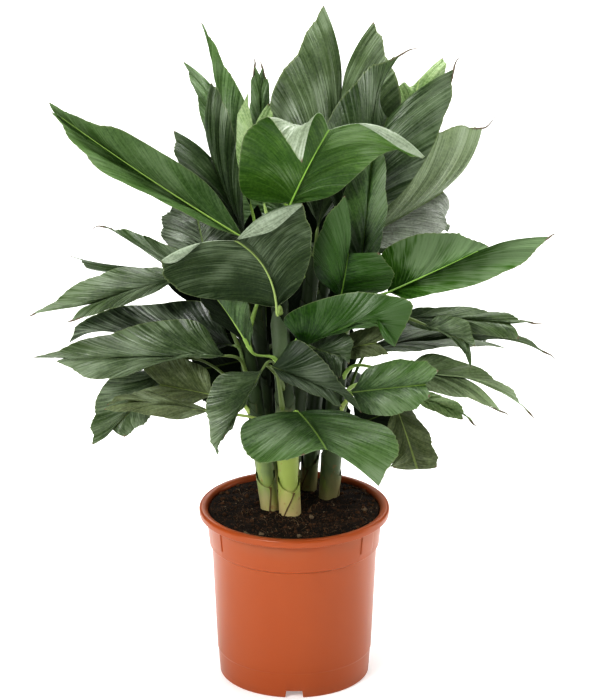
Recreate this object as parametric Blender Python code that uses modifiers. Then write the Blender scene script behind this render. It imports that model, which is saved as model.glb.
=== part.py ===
"""A potted metallic palm: nursery pot, soil, canes and fronds.

Blender 4.5, metres, +Z up. The origin is the middle of the pot's underside and the front is -Y.
"""

import math
import random

import bmesh
import bpy
from mathutils import Matrix, Vector

MM = 0.001
SEED = 7
GAP = 0.3 * MM  # between two pieces that touch
SHARP = math.radians(40)  # edges that turn more than this stay sharp

# Pot, from its underside up.
POT_SIDES = 48
POT_HEIGHT = 178 * MM
RIM_RADIUS = 95 * MM
LIP_HEIGHT = 8.5 * MM
NECK_TOP_RADIUS = 87.5 * MM
NECK_FOOT_RADIUS = 85 * MM
STEP_HEIGHT = 138 * MM
WALL_TOP_RADIUS = 82.6 * MM
BAND_HEIGHT = 27 * MM
BAND_RADIUS = 76.6 * MM
FOOT_RADIUS = 75 * MM
WALL = 1.8 * MM
CHANNEL_HEIGHT = 9.5 * MM
CHANNEL_INNER = 34 * MM
CHANNEL_OUTER = 68 * MM
NOTCH_WIDTH = 20 * MM
NOTCH_HEIGHT = 8 * MM
NOTCH_TAPER = 0.8  # its width at the top, for each of its width at the bottom
NOTCHES = 4
DRAIN_HOLES = 6
DRAIN_RADIUS = 4.5 * MM

# Soil.
SOIL_TOP = 175 * MM
SOIL_GAP = GAP + 0.1 * MM
SOIL_RADIUS = NECK_TOP_RADIUS - WALL - SOIL_GAP - 0.3 * MM
SOIL_EDGE = 1.5 * MM  # how far the soil sinks at the wall
SOIL_RINGS = (0.86, 0.66, 0.44, 0.22)  # of its radius
CLOD_HEIGHT = 2.2 * MM
HOLE_DEPTH = 26 * MM

# Canes.
CANE_SIDES = 10
SHEATH_LENGTH = 42 * MM
SHEATH_LIP = 0.9 * MM

# Fronds.
BLADE = 0.8 * MM
RIB_HALF = 1.4 * MM
RIB_DEPTH = 1.5 * MM
PLEAT = 1.1 * MM
TOOTH = 3.5 * MM
ARCH = 0.04  # of the blade's length
BELLY = 0.07  # of a vein's length
SWELL = 0.06  # of a vein's length
PETIOLE_RADIUS = 1.6 * MM
PETIOLE_RINGS = 4
PETIOLE_SECTION = ((-1, 0.55), (0, 0.75), (1, 0.55), (1, -0.55), (0, -1.1), (-1, -0.55))  # across and up
SPREAD = 0.35  # how far out a petiole leans where it leaves its cane, for each step up
HANDLE = 0.38  # of a petiole's reach, the handles of its curve

# Each cane: base on the soil (x, y), top (x, y, z), radius at the base and at the top, in millimetres.
CANES = {
    "left": ((-24, -2), (-50, 22, 352), 8.5, 6.0),
    "front": ((-4, -14), (-15, 8, 404), 10.0, 6.5),
    "right": ((35, 30), (50, 36, 412), 9.5, 6.5),
    "back_right": ((14, 48), (32, 66, 432), 7.5, 6.0),
    "back_left": ((-22, 52), (-40, 56, 404), 7.5, 6.0),
    "middle": ((-5, 32), (20, 16, 446), 8.0, 6.0),
}

# Each frond: cane, height on it, veins a half, blade's root, end of its midrib, and the edge of its left and
# right half from the root to the lobe's tip, as seen from above. All in millimetres.
FRONDS = {
    "crest": ("front", 396, 7, (-4, -38, 505), (33, -76, 592),
              ((39, -42, 517), (87, -54, 563), (123, -92, 569)),
              ((-49, -44, 517), (-49, -60, 572), (-25, -74, 603), (8, -104, 568))),
    "summit": ("middle", 436, 7, (23, 8, 466), (46, 70, 573),
               ((-24, 52, 568), (4, 90, 621), (29, 118, 660)),
               ((102, 54, 562), (89, 92, 618), (78, 112, 645))),
    "dark_horn": ("middle", 430, 7, (47, 2, 468), (91, 22, 574),
                  ((23, 10, 545), (62, 26, 611), (104, 36, 634)),
                  ((103, 2, 507), (138, 18, 577), (154, 34, 620))),
    "lime_top": ("back_right", 423, 6, (102, 80, 508), (124, 108, 588),
                 ((92, 84, 553), (102, 100, 581), (115, 110, 580)),
                 ((132, 92, 546), (148, 112, 583), (148, 122, 606))),
    "silver_right": ("back_right", 410, 7, (59, 34, 443), (148, 96, 475),
                     ((89, 56, 508), (149, 96, 538), (187, 124, 532)),
                     ((94, 48, 432), (142, 84, 433), (154, 104, 457))),
    "left_horn": ("back_left", 398, 7, (-43, 36, 480), (-74, 84, 577),
                  ((-81, 60, 530), (-98, 86, 577), (-113, 104, 608)),
                  ((-37, 62, 560), (-64, 94, 610), (-96, 112, 647))),
    "grey_horn": ("back_left", 390, 7, (-47, 12, 453), (-81, 30, 531),
                  ((-94, 22, 485), (-112, 30, 523), (-117, 36, 557)),
                  ((-55, 24, 541), (-70, 36, 588), (-81, 38, 605))),
    "pale_strip": ("middle", 412, 5, (-29, -8, 495), (-40, 2, 563),
                   ((-54, -6, 535), (-54, 2, 578), (-44, 6, 605)),
                   ((-21, -8, 536), (-21, 0, 579), (-25, 4, 594))),
    "spear": ("middle", 443, 5, (-31, 22, 541), (-33, 28, 605),
              ((-43, 24, 571), (-41, 28, 605), (-38, 30, 625)),
              ((-23, 24, 571), (-25, 28, 602), (-31, 30, 623))),
    "long_left": ("left", 340, 7, (-46, -12, 460), (-224, 2, 580),
                  ((-87, 6, 514), (-158, 12, 559), (-206, 10, 575), (-247, 4, 600)),
                  ((-87, -14, 479), (-176, -16, 526), (-213, -6, 558), (-240, 2, 593))),
    "silver_left": ("back_left", 366, 7, (-86, 40, 420), (-98, 50, 476),
        ((-120, 50, 428), (-130, 56, 451), (-118, 62, 474)),
        ((-58, 46, 430), (-58, 54, 463), (-80, 58, 481))),
    "thin_left": ("back_left", 355, 7, (-88, 16, 423), (-120, 28, 415),
        ((-124, 18, 410), (-190, 66, 400), (-224, 90, 410)),
        ((-112, 20, 439), (-152, 62, 448), (-189, 90, 445))),
    "fishtail_left": ("left", 338, 7, (-110, -4, 419), (-199, -20, 397),
                      ((-146, -16, 403), (-180, -26, 394), (-217, -32, 384)),
                      ((-141, 4, 427), (-192, 0, 420), (-255, -16, 385))),
    "front_left": ("front", 381, 7, (-17, -58, 406), (-56, -84, 484),
        ((6, -56, 429), (16, -68, 474), (8, -84, 521)),
        ((-52, -60, 414), (-98, -74, 425), (-121, -86, 446), (-126, -94, 466))),
    "half_hidden": ("front", 328, 6, (-43, -40, 357), (-79, -58, 421),
        ((-55, -38, 372), (-80, -44, 392), (-92, -54, 424)),
        ((-41, -42, 383), (-48, -52, 413), (-67, -60, 444))),
    "dark_left": ("left", 320, 6, (-60, 8, 344), (-178, 42, 345),
        ((-103, 6, 335), (-163, 28, 329), (-204, 42, 327)),
        ((-86, 24, 382), (-145, 46, 373), (-200, 54, 359), (-226, 50, 332))),
    "low_left": ("left", 305, 7, (-68, -22, 344), (-195, -30, 345),
                 ((-117, -26, 343), (-184, -40, 326), (-233, -34, 343)),
                 ((-102, -12, 378), (-181, -14, 364), (-255, -32, 345))),
    "toothed": ("left", 284, 7, (-122, 10, 321), (-180, 0, 258),
                ((-120, 6, 300), (-140, 0, 276), (-168, -4, 252)),
                ((-182, 12, 308), (-198, 8, 270), (-200, 2, 241))),
    "level_left": ("front", 254, 6, (-81, -34, 290), (-161, -44, 304),
                   ((-117, -42, 285), (-151, -48, 294), (-186, -52, 299)),
                   ((-107, -26, 297), (-151, -32, 310), (-184, -46, 303))),
    "olive": ("left", 275, 6, (-79, -8, 297), (-132, -10, 309),
              ((-108, -14, 290), (-137, -16, 297), (-154, -14, 303)),
              ((-89, 4, 322), (-121, 6, 329), (-146, -4, 320))),
    "hanging": ("front", 285, 6, (-31, -64, 345), (-72, -94, 282),
                ((-39, -68, 328), (-50, -78, 311), (-66, -92, 287)),
                ((-74, -70, 340), (-83, -84, 309), (-75, -98, 268))),
    "front_spear": ("front", 305, 6, (-22, -58, 346), (36, -94, 337),
        ((4, -60, 374), (36, -86, 350), (66, -110, 319)),
        ((-8, -72, 335), (22, -94, 330), (46, -104, 321))),
    "folded": ("middle", 330, 5, (20, -42, 359), (47, -56, 356),
               ((38, -44, 381), (54, -52, 371), (53, -60, 349)),
               ((27, -50, 350), (37, -58, 340), (45, -62, 336))),
    "apron": ("front", 244, 7, (4, -48, 295), (31, -127, 287),
              ((56, -70, 301), (99, -100, 286), (81, -130, 249)),
              ((-50, -84, 296), (-37, -118, 272), (9, -134, 283))),
    "heart": ("middle", 375, 7, (45, -34, 408), (52, -46, 458),
              ((19, -36, 438), (27, -50, 485), (49, -60, 522)),
              ((70, -30, 407), (95, -38, 428), (82, -48, 460))),
    "heart_back": ("right", 400, 6, (64, -14, 422), (75, -26, 546),
                   ((46, -12, 460), (50, -20, 514), (69, -30, 568)),
                   ((84, -12, 455), (89, -20, 504), (85, -28, 562))),
    "long_right": ("right", 380, 7, (91, -26, 411), (179, 4, 443),
                   ((122, -26, 406), (206, 2, 422), (252, 30, 450)),
                   ((88, -8, 449), (142, 14, 458), (191, 16, 445))),
    "veined_right": ("middle", 345, 7, (7, -46, 363), (74, -68, 407),
        ((-8, -46, 394), (50, -56, 420), (110, -72, 417), (97, -88, 378)),
        ((27, -54, 373), (58, -64, 387), (86, -76, 394))),
    "level_right": ("right", 365, 7, (103, -28, 385), (211, -30, 380),
                    ((128, -20, 394), (191, -18, 389), (233, -22, 378)),
                    ((127, -38, 377), (181, -42, 374), (219, -42, 369))),
    "drooping": ("right", 350, 5, (127, -46, 385), (169, -58, 371),
                 ((142, -46, 396), (167, -54, 395), (177, -62, 370)),
                 ((138, -50, 379), (159, -58, 368), (172, -66, 348))),
    "under_right": ("right", 328, 6, (62, -20, 347), (180, 4, 349),
                    ((118, 6, 360), (200, 30, 354), (250, 36, 326)),
                    ((104, -34, 353), (158, -28, 356), (208, -10, 349))),
    "pale_young": ("right", 315, 5, (50, -36, 356), (80, -44, 366),
                   ((56, -32, 371), (79, -38, 380), (97, -46, 378)),
                   ((56, -44, 349), (76, -48, 354), (92, -52, 357))),
    "oval": ("middle", 300, 7, (56, -52, 317), (127, -78, 335),
             ((76, -50, 344), (117, -64, 354), (140, -80, 350)),
             ((70, -66, 300), (107, -80, 308), (132, -86, 326))),
    "fishtail_right": ("right", 304, 7, (102, -16, 325), (165, -22, 322),
                       ((134, -6, 340), (175, -10, 329), (208, -20, 311), (232, -30, 286)),
                       ((128, -24, 309), (171, -32, 303), (203, -36, 291))),
    "lime_low": ("right", 284, 5, (117, 10, 290), (164, 2, 276),
                 ((135, 14, 292), (159, 8, 284), (177, -2, 265)),
                 ((130, 4, 280), (149, -2, 274), (167, -4, 270))),
    "skirt": ("right", 270, 6, (99, -26, 295), (121, -46, 234),
              ((116, -20, 286), (133, -36, 263), (141, -46, 236)),
              ((92, -34, 271), (97, -44, 248), (97, -48, 236))),
    "rear_top": ("back_right", 384, 6, (5, 78, 430), (15, 150, 496),
                 ((-52, 96, 440), (-45, 140, 482), (-15, 190, 495)),
                 ((64, 98, 442), (62, 145, 482), (48, 192, 492))),
    "inner_left": ("back_left", 340, 5, (-32, 64, 373), (-54, 80, 429),
                   ((-59, 62, 394), (-79, 70, 422), (-72, 80, 461)),
                   ((-24, 62, 405), (-26, 72, 433), (-36, 82, 466))),
    "inner_mid": ("back_left", 318, 5, (-10, 78, 335), (-12, 98, 395),
                  ((-50, 78, 352), (-46, 90, 385), (-30, 102, 414)),
                  ((30, 78, 352), (30, 92, 388), (8, 102, 417))),
    "inner_right": ("right", 232, 5, (60, 12, 258), (92, 0, 276),
                    ((61, 13, 283), (82, 10, 296), (108, 2, 298)),
                    ((76, 4, 248), (96, -4, 254), (118, -4, 272))),
    "inner_low": ("back_right", 242, 5, (6, 84, 262), (4, 104, 306),
        ((-46, 67, 288), (-50, 74, 316), (-26, 98, 340)),
        ((48, 84, 274), (60, 94, 306), (44, 104, 332))),
    "inner_high": ("back_right", 381, 5, (6, 40, 420), (35, 50, 481),
                    ((6, 36, 449), (6, 40, 474), (16, 50, 512)),
                    ((55, 40, 443), (65, 46, 482), (57, 52, 516))),
    "shade_high": ("back_left", 306, 5, (-62, 56, 350), (-104, 66, 370),
        ((-80, 60, 332), (-106, 62, 334), (-122, 64, 350)),
        ((-74, 64, 382), (-100, 70, 396), (-127, 70, 388))),
    "shade_low": ("back_left", 268, 5, (-49, 42, 316), (-86, 42, 306),
        ((-58, 36, 288), (-82, 34, 276), (-102, 36, 280)),
        ((-58, 50, 338), (-82, 50, 340), (-104, 46, 326))),
    "young_back": ("back_right", 196, 5, (10, 74, 220), (10, 92, 252),
        ((-30, 78, 226), (-38, 90, 246), (-20, 100, 270)),
        ((46, 76, 222), (54, 86, 242), (40, 98, 266))),
    "rear_left": ("back_left", 330, 6, (-58, 88, 392), (-88, 162, 408),
        ((-102, 110, 402), (-128, 162, 396), (-134, 198, 372)),
        ((-38, 148, 418), (-54, 196, 410), (-78, 226, 388))),
    "rear_right": ("back_right", 350, 6, (60, 88, 400), (102, 162, 427),
                   ((45, 148, 425), (70, 196, 422), (94, 226, 404)),
                   ((125, 118, 420), (152, 162, 421), (158, 198, 399))),
    "rear_low_left": ("back_left", 262, 6, (-70, 80, 330), (-120, 145, 325),
                      ((-130, 95, 335), (-165, 140, 320), (-175, 165, 296)),
                      ((-65, 140, 325), (-100, 180, 315), (-120, 200, 296))),
    "rear_low": ("back_right", 268, 6, (25, 98, 330), (35, 185, 325),
                 ((-26, 135, 335), (-14, 190, 318), (6, 232, 290)),
                 ((72, 138, 335), (76, 188, 318), (68, 228, 287))),
    "rear_low_right": ("right", 258, 6, (88, 70, 330), (140, 120, 328),
                       ((92, 122, 332), (125, 165, 318), (145, 185, 300)),
                       ((150, 72, 335), (185, 110, 322), (196, 138, 300))),
    "rear_hem_left": ("back_left", 213, 5, (-40, 88, 290), (-58, 150, 284),
                      ((-90, 110, 292), (-98, 150, 276), (-96, 180, 254)),
                      ((-12, 125, 290), (-25, 165, 276), (-45, 190, 254))),
    "rear_hem_right": ("back_right", 216, 5, (58, 82, 268), (80, 142, 262),
                       ((36, 122, 268), (54, 165, 255), (72, 186, 232)),
                       ((102, 100, 272), (118, 138, 258), (118, 166, 236))),
}

# How far the last vein of a folded half is pulled up over the fold, in millimetres: (left half, right half).
NO_FOLD = ((0, 0, 0), (0, 0, 0))
FOLDS = {
    "crest": ((0, 0, 8), (0, 4, 26)),
    "summit": ((0, 0, 0), (-10, 0, 4)),
    "front_left": ((0, -4, 24), (0, 0, 0)),
}

POT_COLOUR = (0.53, 0.130, 0.050)
SOIL_COLOUR = (0.030, 0.018, 0.011)
CANE_COLOUR = (0.155, 0.215, 0.085)
FROND_COLOURS = ((0.030, 0.085, 0.036), (0.042, 0.125, 0.034), (0.070, 0.120, 0.075))


def clear_scene():
    for obj in list(bpy.data.objects):
        bpy.data.objects.remove(obj, do_unlink=True)


def collection(name, hidden=False):
    made = bpy.data.collections.new(name)
    bpy.context.scene.collection.children.link(made)
    made.hide_render = hidden
    return made


def material(name, colour, roughness):
    made = bpy.data.materials.new(name)
    made.use_nodes = True
    shader = made.node_tree.nodes["Principled BSDF"]
    shader.inputs["Base Color"].default_value = (*colour, 1)
    shader.inputs["Roughness"].default_value = roughness
    return made


def add_object(name, mesh, into, look=None):
    obj = bpy.data.objects.new(name, mesh)
    into.objects.link(obj)
    if look:
        mesh.materials.append(look)
    return obj


def object_of(name, bm, into, look=None):
    """The finished bmesh as an object, with its faces turned outwards and smooth but for its sharp edges."""
    bmesh.ops.recalc_face_normals(bm, faces=bm.faces)
    mesh = bpy.data.meshes.new(name)
    bm.to_mesh(mesh)
    bm.free()
    mesh.shade_smooth()
    mesh.set_sharp_from_angle(angle=SHARP)
    return add_object(name, mesh, into, look)


def lathe(name, profile, into, look):
    """A closed body turned about Z from a profile that starts and ends on the axis."""
    mesh = bpy.data.meshes.new(name)
    edges = [(i, i + 1) for i in range(len(profile) - 1)]
    mesh.from_pydata([(radius, 0, height) for radius, height in profile], edges, [])
    obj = add_object(name, mesh, into, look)
    screw = obj.modifiers.new("Turn", "SCREW")
    screw.steps = screw.render_steps = POT_SIDES
    screw.use_merge_vertices = True
    screw.merge_threshold = 0.00005
    screw.use_smooth_shade = True
    return obj


def cut(obj, cutter):
    """Takes the cutter away from the object, and hides it."""
    boolean = obj.modifiers.new(cutter.name, "BOOLEAN")
    boolean.operation = "DIFFERENCE"
    boolean.solver = "EXACT"
    boolean.object = cutter
    cutter.hide_render = True
    cutter.display_type = "WIRE"


def loft(rings):
    """A bmesh tube through rings of points, closed at both ends."""
    bm = bmesh.new()
    loops = [[bm.verts.new(point) for point in ring] for ring in rings]
    count = len(loops[0])
    for lower, upper in zip(loops, loops[1:]):
        for i in range(count):
            j = (i + 1) % count
            bm.faces.new((lower[i], lower[j], upper[j], upper[i]))
    bm.faces.new(loops[0])
    bm.faces.new(loops[-1])
    return bm


def inner_profile(inset=0.0):
    """The pot's inside from its floor's middle to the neck's top, moved in by inset."""
    floor = CHANNEL_HEIGHT + WALL
    return [
        (0, WALL + inset),
        (CHANNEL_INNER - 6 * MM - inset, WALL + inset),
        (CHANNEL_INNER - inset, floor + inset),
        (FOOT_RADIUS - WALL - 1.5 * MM - inset, floor + inset),
        (BAND_RADIUS - WALL - inset, BAND_HEIGHT),
        (WALL_TOP_RADIUS - WALL - inset, STEP_HEIGHT + inset),
        (NECK_FOOT_RADIUS - WALL - inset, STEP_HEIGHT + 3 * MM + inset),
    ]


def make_pot(into, helpers, look):
    lip = POT_HEIGHT - LIP_HEIGHT
    outer = [
        (NECK_TOP_RADIUS - WALL, POT_HEIGHT - 4 * MM),
        (NECK_TOP_RADIUS + 0.5 * MM, POT_HEIGHT - 0.8 * MM),
        (RIM_RADIUS - 4 * MM, POT_HEIGHT),
        (RIM_RADIUS - 1 * MM, POT_HEIGHT - 1.2 * MM),
        (RIM_RADIUS, POT_HEIGHT - 3.5 * MM),
        (RIM_RADIUS - 0.4 * MM, lip + 0.8 * MM),
        (RIM_RADIUS - 1.4 * MM, lip),
        (NECK_TOP_RADIUS, lip + 0.6 * MM),
        (NECK_FOOT_RADIUS, STEP_HEIGHT + 1.5 * MM),
        (WALL_TOP_RADIUS, STEP_HEIGHT - 0.5 * MM),
        (BAND_RADIUS + 0.4 * MM, BAND_HEIGHT),
        (BAND_RADIUS - 0.1 * MM, BAND_HEIGHT - 0.6 * MM),
        (FOOT_RADIUS, 2 * MM),
        (FOOT_RADIUS - 2 * MM, 0),
        (CHANNEL_OUTER, 0),
        (CHANNEL_OUTER - 2 * MM, CHANNEL_HEIGHT),
        (CHANNEL_INNER + 2 * MM, CHANNEL_HEIGHT),
        (CHANNEL_INNER - 4 * MM, 0),
        (0, 0),
    ]
    pot = lathe("pot", inner_profile() + outer, into, look)
    cut(pot, make_notches(helpers))
    cut(pot, make_drains(helpers))
    return pot


def make_notches(helpers):
    """Blocks that cut the drainage gaps through the foot ring, a little narrower at the top."""
    bm = bmesh.new()
    size = Vector((FOOT_RADIUS - CHANNEL_OUTER + 10 * MM, NOTCH_WIDTH, 2 * NOTCH_HEIGHT))
    out = Matrix.Translation(((CHANNEL_OUTER + FOOT_RADIUS) / 2, 0, 0))
    for i in range(NOTCHES):
        made = bmesh.ops.create_cube(bm, size=1)
        for vert in made["verts"]:
            vert.co *= size
            if vert.co.z > 0:
                vert.co.y *= NOTCH_TAPER
        turn = Matrix.Rotation(math.tau * i / NOTCHES - math.pi / 2, 4, "Z")
        bmesh.ops.transform(bm, matrix=turn @ out, verts=made["verts"])
    return object_of("cutter_notches", bm, helpers)


def make_drains(helpers):
    """Rods that cut the drain holes through the floor above the channel."""
    bm = bmesh.new()
    ring = (CHANNEL_INNER + CHANNEL_OUTER) / 2
    for i in range(DRAIN_HOLES):
        angle = math.tau * (i + 0.5) / DRAIN_HOLES
        made = bmesh.ops.create_cone(
            bm, cap_ends=True, segments=12, radius1=DRAIN_RADIUS, radius2=DRAIN_RADIUS, depth=10 * MM
        )
        middle = Vector((ring * math.cos(angle), ring * math.sin(angle), CHANNEL_HEIGHT + WALL / 2))
        bmesh.ops.translate(bm, verts=made["verts"], vec=middle)
    return object_of("cutter_drains", bm, helpers)


def make_soil(into, helpers, look, holes):
    """Peat that fills the pot, with low clods on top and a plain hole for each cane."""
    rng = random.Random(SEED)
    rings = [(radius, height, 0) for radius, height in inner_profile(SOIL_GAP)[1:]]
    rings.append((SOIL_RADIUS, SOIL_TOP - SOIL_EDGE, 0))
    rings += [(SOIL_RADIUS * share, SOIL_TOP, CLOD_HEIGHT) for share in SOIL_RINGS]
    bm = bmesh.new()
    loops = []
    for radius, height, rough in rings:
        loop = []
        for i in range(POT_SIDES):
            angle = math.tau * i / POT_SIDES
            lifted = height + rng.uniform(-1, 1) * rough
            loop.append(bm.verts.new((radius * math.cos(angle), radius * math.sin(angle), lifted)))
        loops.append(loop)
    for lower, upper in zip(loops, loops[1:]):
        for i in range(POT_SIDES):
            j = (i + 1) % POT_SIDES
            bm.faces.new((lower[i], lower[j], upper[j], upper[i]))
    bm.faces.new(loops[0])
    middle = bm.verts.new((0, 0, SOIL_TOP))
    for i in range(POT_SIDES):
        bm.faces.new((loops[-1][i], loops[-1][(i + 1) % POT_SIDES], middle))
    bmesh.ops.triangulate(bm, faces=bm.faces)
    soil = object_of("soil", bm, into, look)
    for hole in holes:
        cut(soil, hole)
    return soil


class Cane:
    """A leaning cane wrapped in leaf sheaths, each a little wider at its mouth than the next one's foot."""

    def __init__(self, base, top, foot_radius, top_radius):
        self.base = Vector((base[0] * MM, base[1] * MM, SOIL_TOP))
        self.top = Vector(top) * MM
        self.bend = self.base.lerp(self.top, 0.5) + (self.base - self.top) * 0.06
        self.bend.z = (self.base.z + self.top.z) / 2
        self.radii = (foot_radius * MM, top_radius * MM)

    def axis(self, height):
        """Place and direction of the cane at a height, carried on straight below the soil's top."""
        t = (height - self.base.z) / (self.top.z - self.base.z)
        if t < 0:
            along = (self.bend - self.base).normalized()
            return self.base + along * ((height - self.base.z) / along.z), along
        place = self.base.lerp(self.bend, t).lerp(self.bend.lerp(self.top, t), t)
        return place, (self.bend.lerp(self.top, t) - self.base.lerp(self.bend, t)).normalized()

    def core(self, height):
        """Radius at a sheath's foot at this height."""
        t = max(0.0, (height - self.base.z) / (self.top.z - self.base.z))
        return self.radii[0] + (self.radii[1] - self.radii[0]) * t

    def radius(self, height):
        """Radius at a height that lies between a sheath's foot and its mouth."""
        return self.core(height) + SHEATH_LIP * ((height - self.base.z) % SHEATH_LENGTH) / SHEATH_LENGTH

    def ring(self, height, radius):
        place, along = self.axis(height)
        side = along.cross(Vector((0, 1, 0))).normalized()
        other = along.cross(side)
        turns = [math.tau * i / CANE_SIDES for i in range(CANE_SIDES)]
        return [place + (side * math.cos(a) + other * math.sin(a)) * radius for a in turns]

    def body(self):
        """Foot and mouth of each sheath in turn, the mouth just under the next foot, then a blunt top."""
        below = self.base.z - HOLE_DEPTH
        rings = [self.ring(below, self.core(below))]
        foot = self.base.z
        while foot < self.top.z:
            mouth = min(foot + SHEATH_LENGTH - 0.4 * MM, self.top.z)
            rings += [self.ring(foot, self.core(foot)), self.ring(mouth, self.radius(mouth))]
            foot += SHEATH_LENGTH
        rings.append(self.ring(self.top.z + 3 * MM, self.radii[1] * 0.5))
        return loft(rings)

    def hole(self):
        """The hole that the cane stands in, wider and deeper by the gap."""
        below = self.base.z - HOLE_DEPTH - GAP
        above = self.base.z + 2 * CLOD_HEIGHT + 2 * MM
        return loft([self.ring(h, self.core(h) + SHEATH_LIP / 4 + GAP) for h in (below, self.base.z, above)])


def through(points, t):
    """The point at t, from 0 to 1, on a smooth curve through the points."""
    spans = len(points) - 1
    i = min(int(t * spans), spans - 1)
    s = t * spans - i
    a, b = points[i], points[i + 1]
    before = points[i - 1] if i else a * 2 - b
    after = points[i + 2] if i + 2 <= spans else b * 2 - a
    slope_a = (b - before) / 2
    slope_b = (after - a) / 2
    rise = b - a
    return a + slope_a * s + (rise * 3 - slope_a * 2 - slope_b) * s**2 + (slope_a + slope_b - rise * 2) * s**3


class Frond:
    """A fishtail blade on its petiole, one closed body."""

    def __init__(self, cane, height, veins, root, end, left, right, folds=NO_FOLD):
        self.cane = cane
        self.folds = [Vector(fold) * MM for fold in folds]
        self.height = height * MM
        self.veins = veins
        self.root = Vector(root) * MM
        self.end = Vector(end) * MM
        self.edges = [[self.root] + [Vector(p) * MM for p in edge] for edge in (left, right)]
        span = self.edges[1][1] - self.edges[0][1]
        self.up = span.cross(self.end - self.root).normalized()

    def midrib(self, u):
        """Point on the midrib, which arches up between its root and its end."""
        lift = self.up * (self.end - self.root).length * ARCH * 4 * u * (1 - u)
        return self.root.lerp(self.end, u) + lift

    def vein(self, half, k):
        """Points of vein k from the midrib to the edge: pleated, bellied, every second one a tooth longer."""
        u = k / self.veins
        foot = self.midrib(u)
        tip = through(self.edges[half], u)
        reach = tip - foot
        odd = k % 2
        if odd and 0.4 < u < 1:
            tip = tip + reach.normalized() * TOOTH
            reach = tip - foot
        rib = min(RIB_HALF * (1.15 - u), reach.length * 0.3)
        pleat = self.up * (PLEAT if odd else -PLEAT) * (0 < k < self.veins)
        onward = self.end - self.root
        onward = (onward - reach * onward.dot(reach) / reach.length_squared).normalized()
        middle = foot + reach * 0.5 + (self.up * BELLY + onward * SWELL) * reach.length
        middle += self.folds[half] * max(0, 2 * u - 1) ** 1.5
        return [foot, foot + reach.normalized() * rib, middle + pleat, tip + pleat]

    def petiole(self):
        """Rings of six points from the cane's side to the blade's root."""
        place, along = self.cane.axis(self.height)
        out = self.root - place
        out = (out - along * out.dot(along)).normalized()
        start = place + out * (self.cane.radius(self.height) + GAP)
        forward = (self.midrib(0.1) - self.root).normalized()
        across = forward.cross(self.up).normalized()
        reach = (self.root - start).length
        leaving = (along + out * SPREAD).normalized() * reach
        controls = (start, start + leaving * HANDLE, self.root - forward * reach * HANDLE, self.root)
        first = along.cross(out).normalized()
        if first.dot(across) < 0:
            first = -first
        rings = []
        for i in range(PETIOLE_RINGS):
            t = i / PETIOLE_RINGS
            a, b, c, d = controls
            spot = a * (1 - t) ** 3 + b * 3 * t * (1 - t) ** 2 + c * 3 * t**2 * (1 - t) + d * t**3
            ahead = (b - a) * (1 - t) ** 2 + (c - b) * 2 * t * (1 - t) + (d - c) * t**2
            ahead = out if i == 0 else ahead.normalized()
            side = first.lerp(across, t)
            side = (side - ahead * side.dot(ahead)).normalized()
            over = side.cross(ahead)
            wide = PETIOLE_RADIUS * (2 - min(1, 2 * t))
            rings.append([spot + side * x * wide + over * y * wide for x, y in PETIOLE_SECTION])
        return rings

    def body(self):
        bm = bmesh.new()
        spine = [bm.verts.new(self.midrib(k / self.veins)) for k in range(self.veins + 1)]
        halves = []
        for half in (0, 1):
            rows = []
            for k in range(1, self.veins + 1):
                rows.append([bm.verts.new(p) for p in self.vein(half, k)[1:]])
            forward = (self.midrib(0.1) - self.root).normalized()
            aside = self.up.cross(forward) * (1, -1)[half] * RIB_HALF
            halves.append([[bm.verts.new(self.root + aside)]] + rows)
        for half, rows in enumerate(halves):
            self.surface(bm, spine, rows, flip=bool(half))
        bm.normal_update()
        upper = list(bm.faces)
        low = {}
        for vert in list(bm.verts):
            depth = BLADE
            if vert in spine[:-1]:
                depth += RIB_DEPTH * (1 - 0.8 * spine.index(vert) / self.veins)
            low[vert] = bm.verts.new(vert.co - vert.normal * depth)
        for face in upper:
            bm.faces.new([low[v] for v in reversed(face.verts)])
        left, right = halves
        border = [left[0][0]] + [row[-1] for row in left[1:]] + left[-1][-2::-1] + [spine[-1]]
        border += right[-1][:-1] + [row[-1] for row in reversed(right[1:])] + [right[0][0]]
        for a, b in zip(border, border[1:]):
            bm.faces.new((a, b, low[b]))
            bm.faces.new((a, low[b], low[a]))
        blade_end = [left[0][0], spine[0], right[0][0], low[right[0][0]], low[spine[0]], low[left[0][0]]]
        loops = [[bm.verts.new(p) for p in ring] for ring in self.petiole()] + [blade_end]
        for lower, upper_ring in zip(loops, loops[1:]):
            for i in range(6):
                j = (i + 1) % 6
                bm.faces.new((lower[i], lower[j], upper_ring[j], upper_ring[i]))
        bm.faces.new(loops[0])
        return bm

    def surface(self, bm, spine, rows, flip):
        """Faces of one half's upper side, in triangles."""
        faces = [(spine[0], spine[1], rows[1][0], rows[0][0])]
        faces += [(rows[0][0], a, b) for a, b in zip(rows[1], rows[1][1:])]
        for k in range(1, len(rows) - 1):
            near = [spine[k]] + rows[k]
            far = [spine[k + 1]] + rows[k + 1]
            faces += [(near[j], far[j], far[j + 1], near[j + 1]) for j in range(len(near) - 1)]
        for face in faces:
            corners = list(reversed(face)) if flip else list(face)
            bm.faces.new(corners[:3])
            if len(corners) == 4:
                bm.faces.new((corners[0], corners[2], corners[3]))


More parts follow.
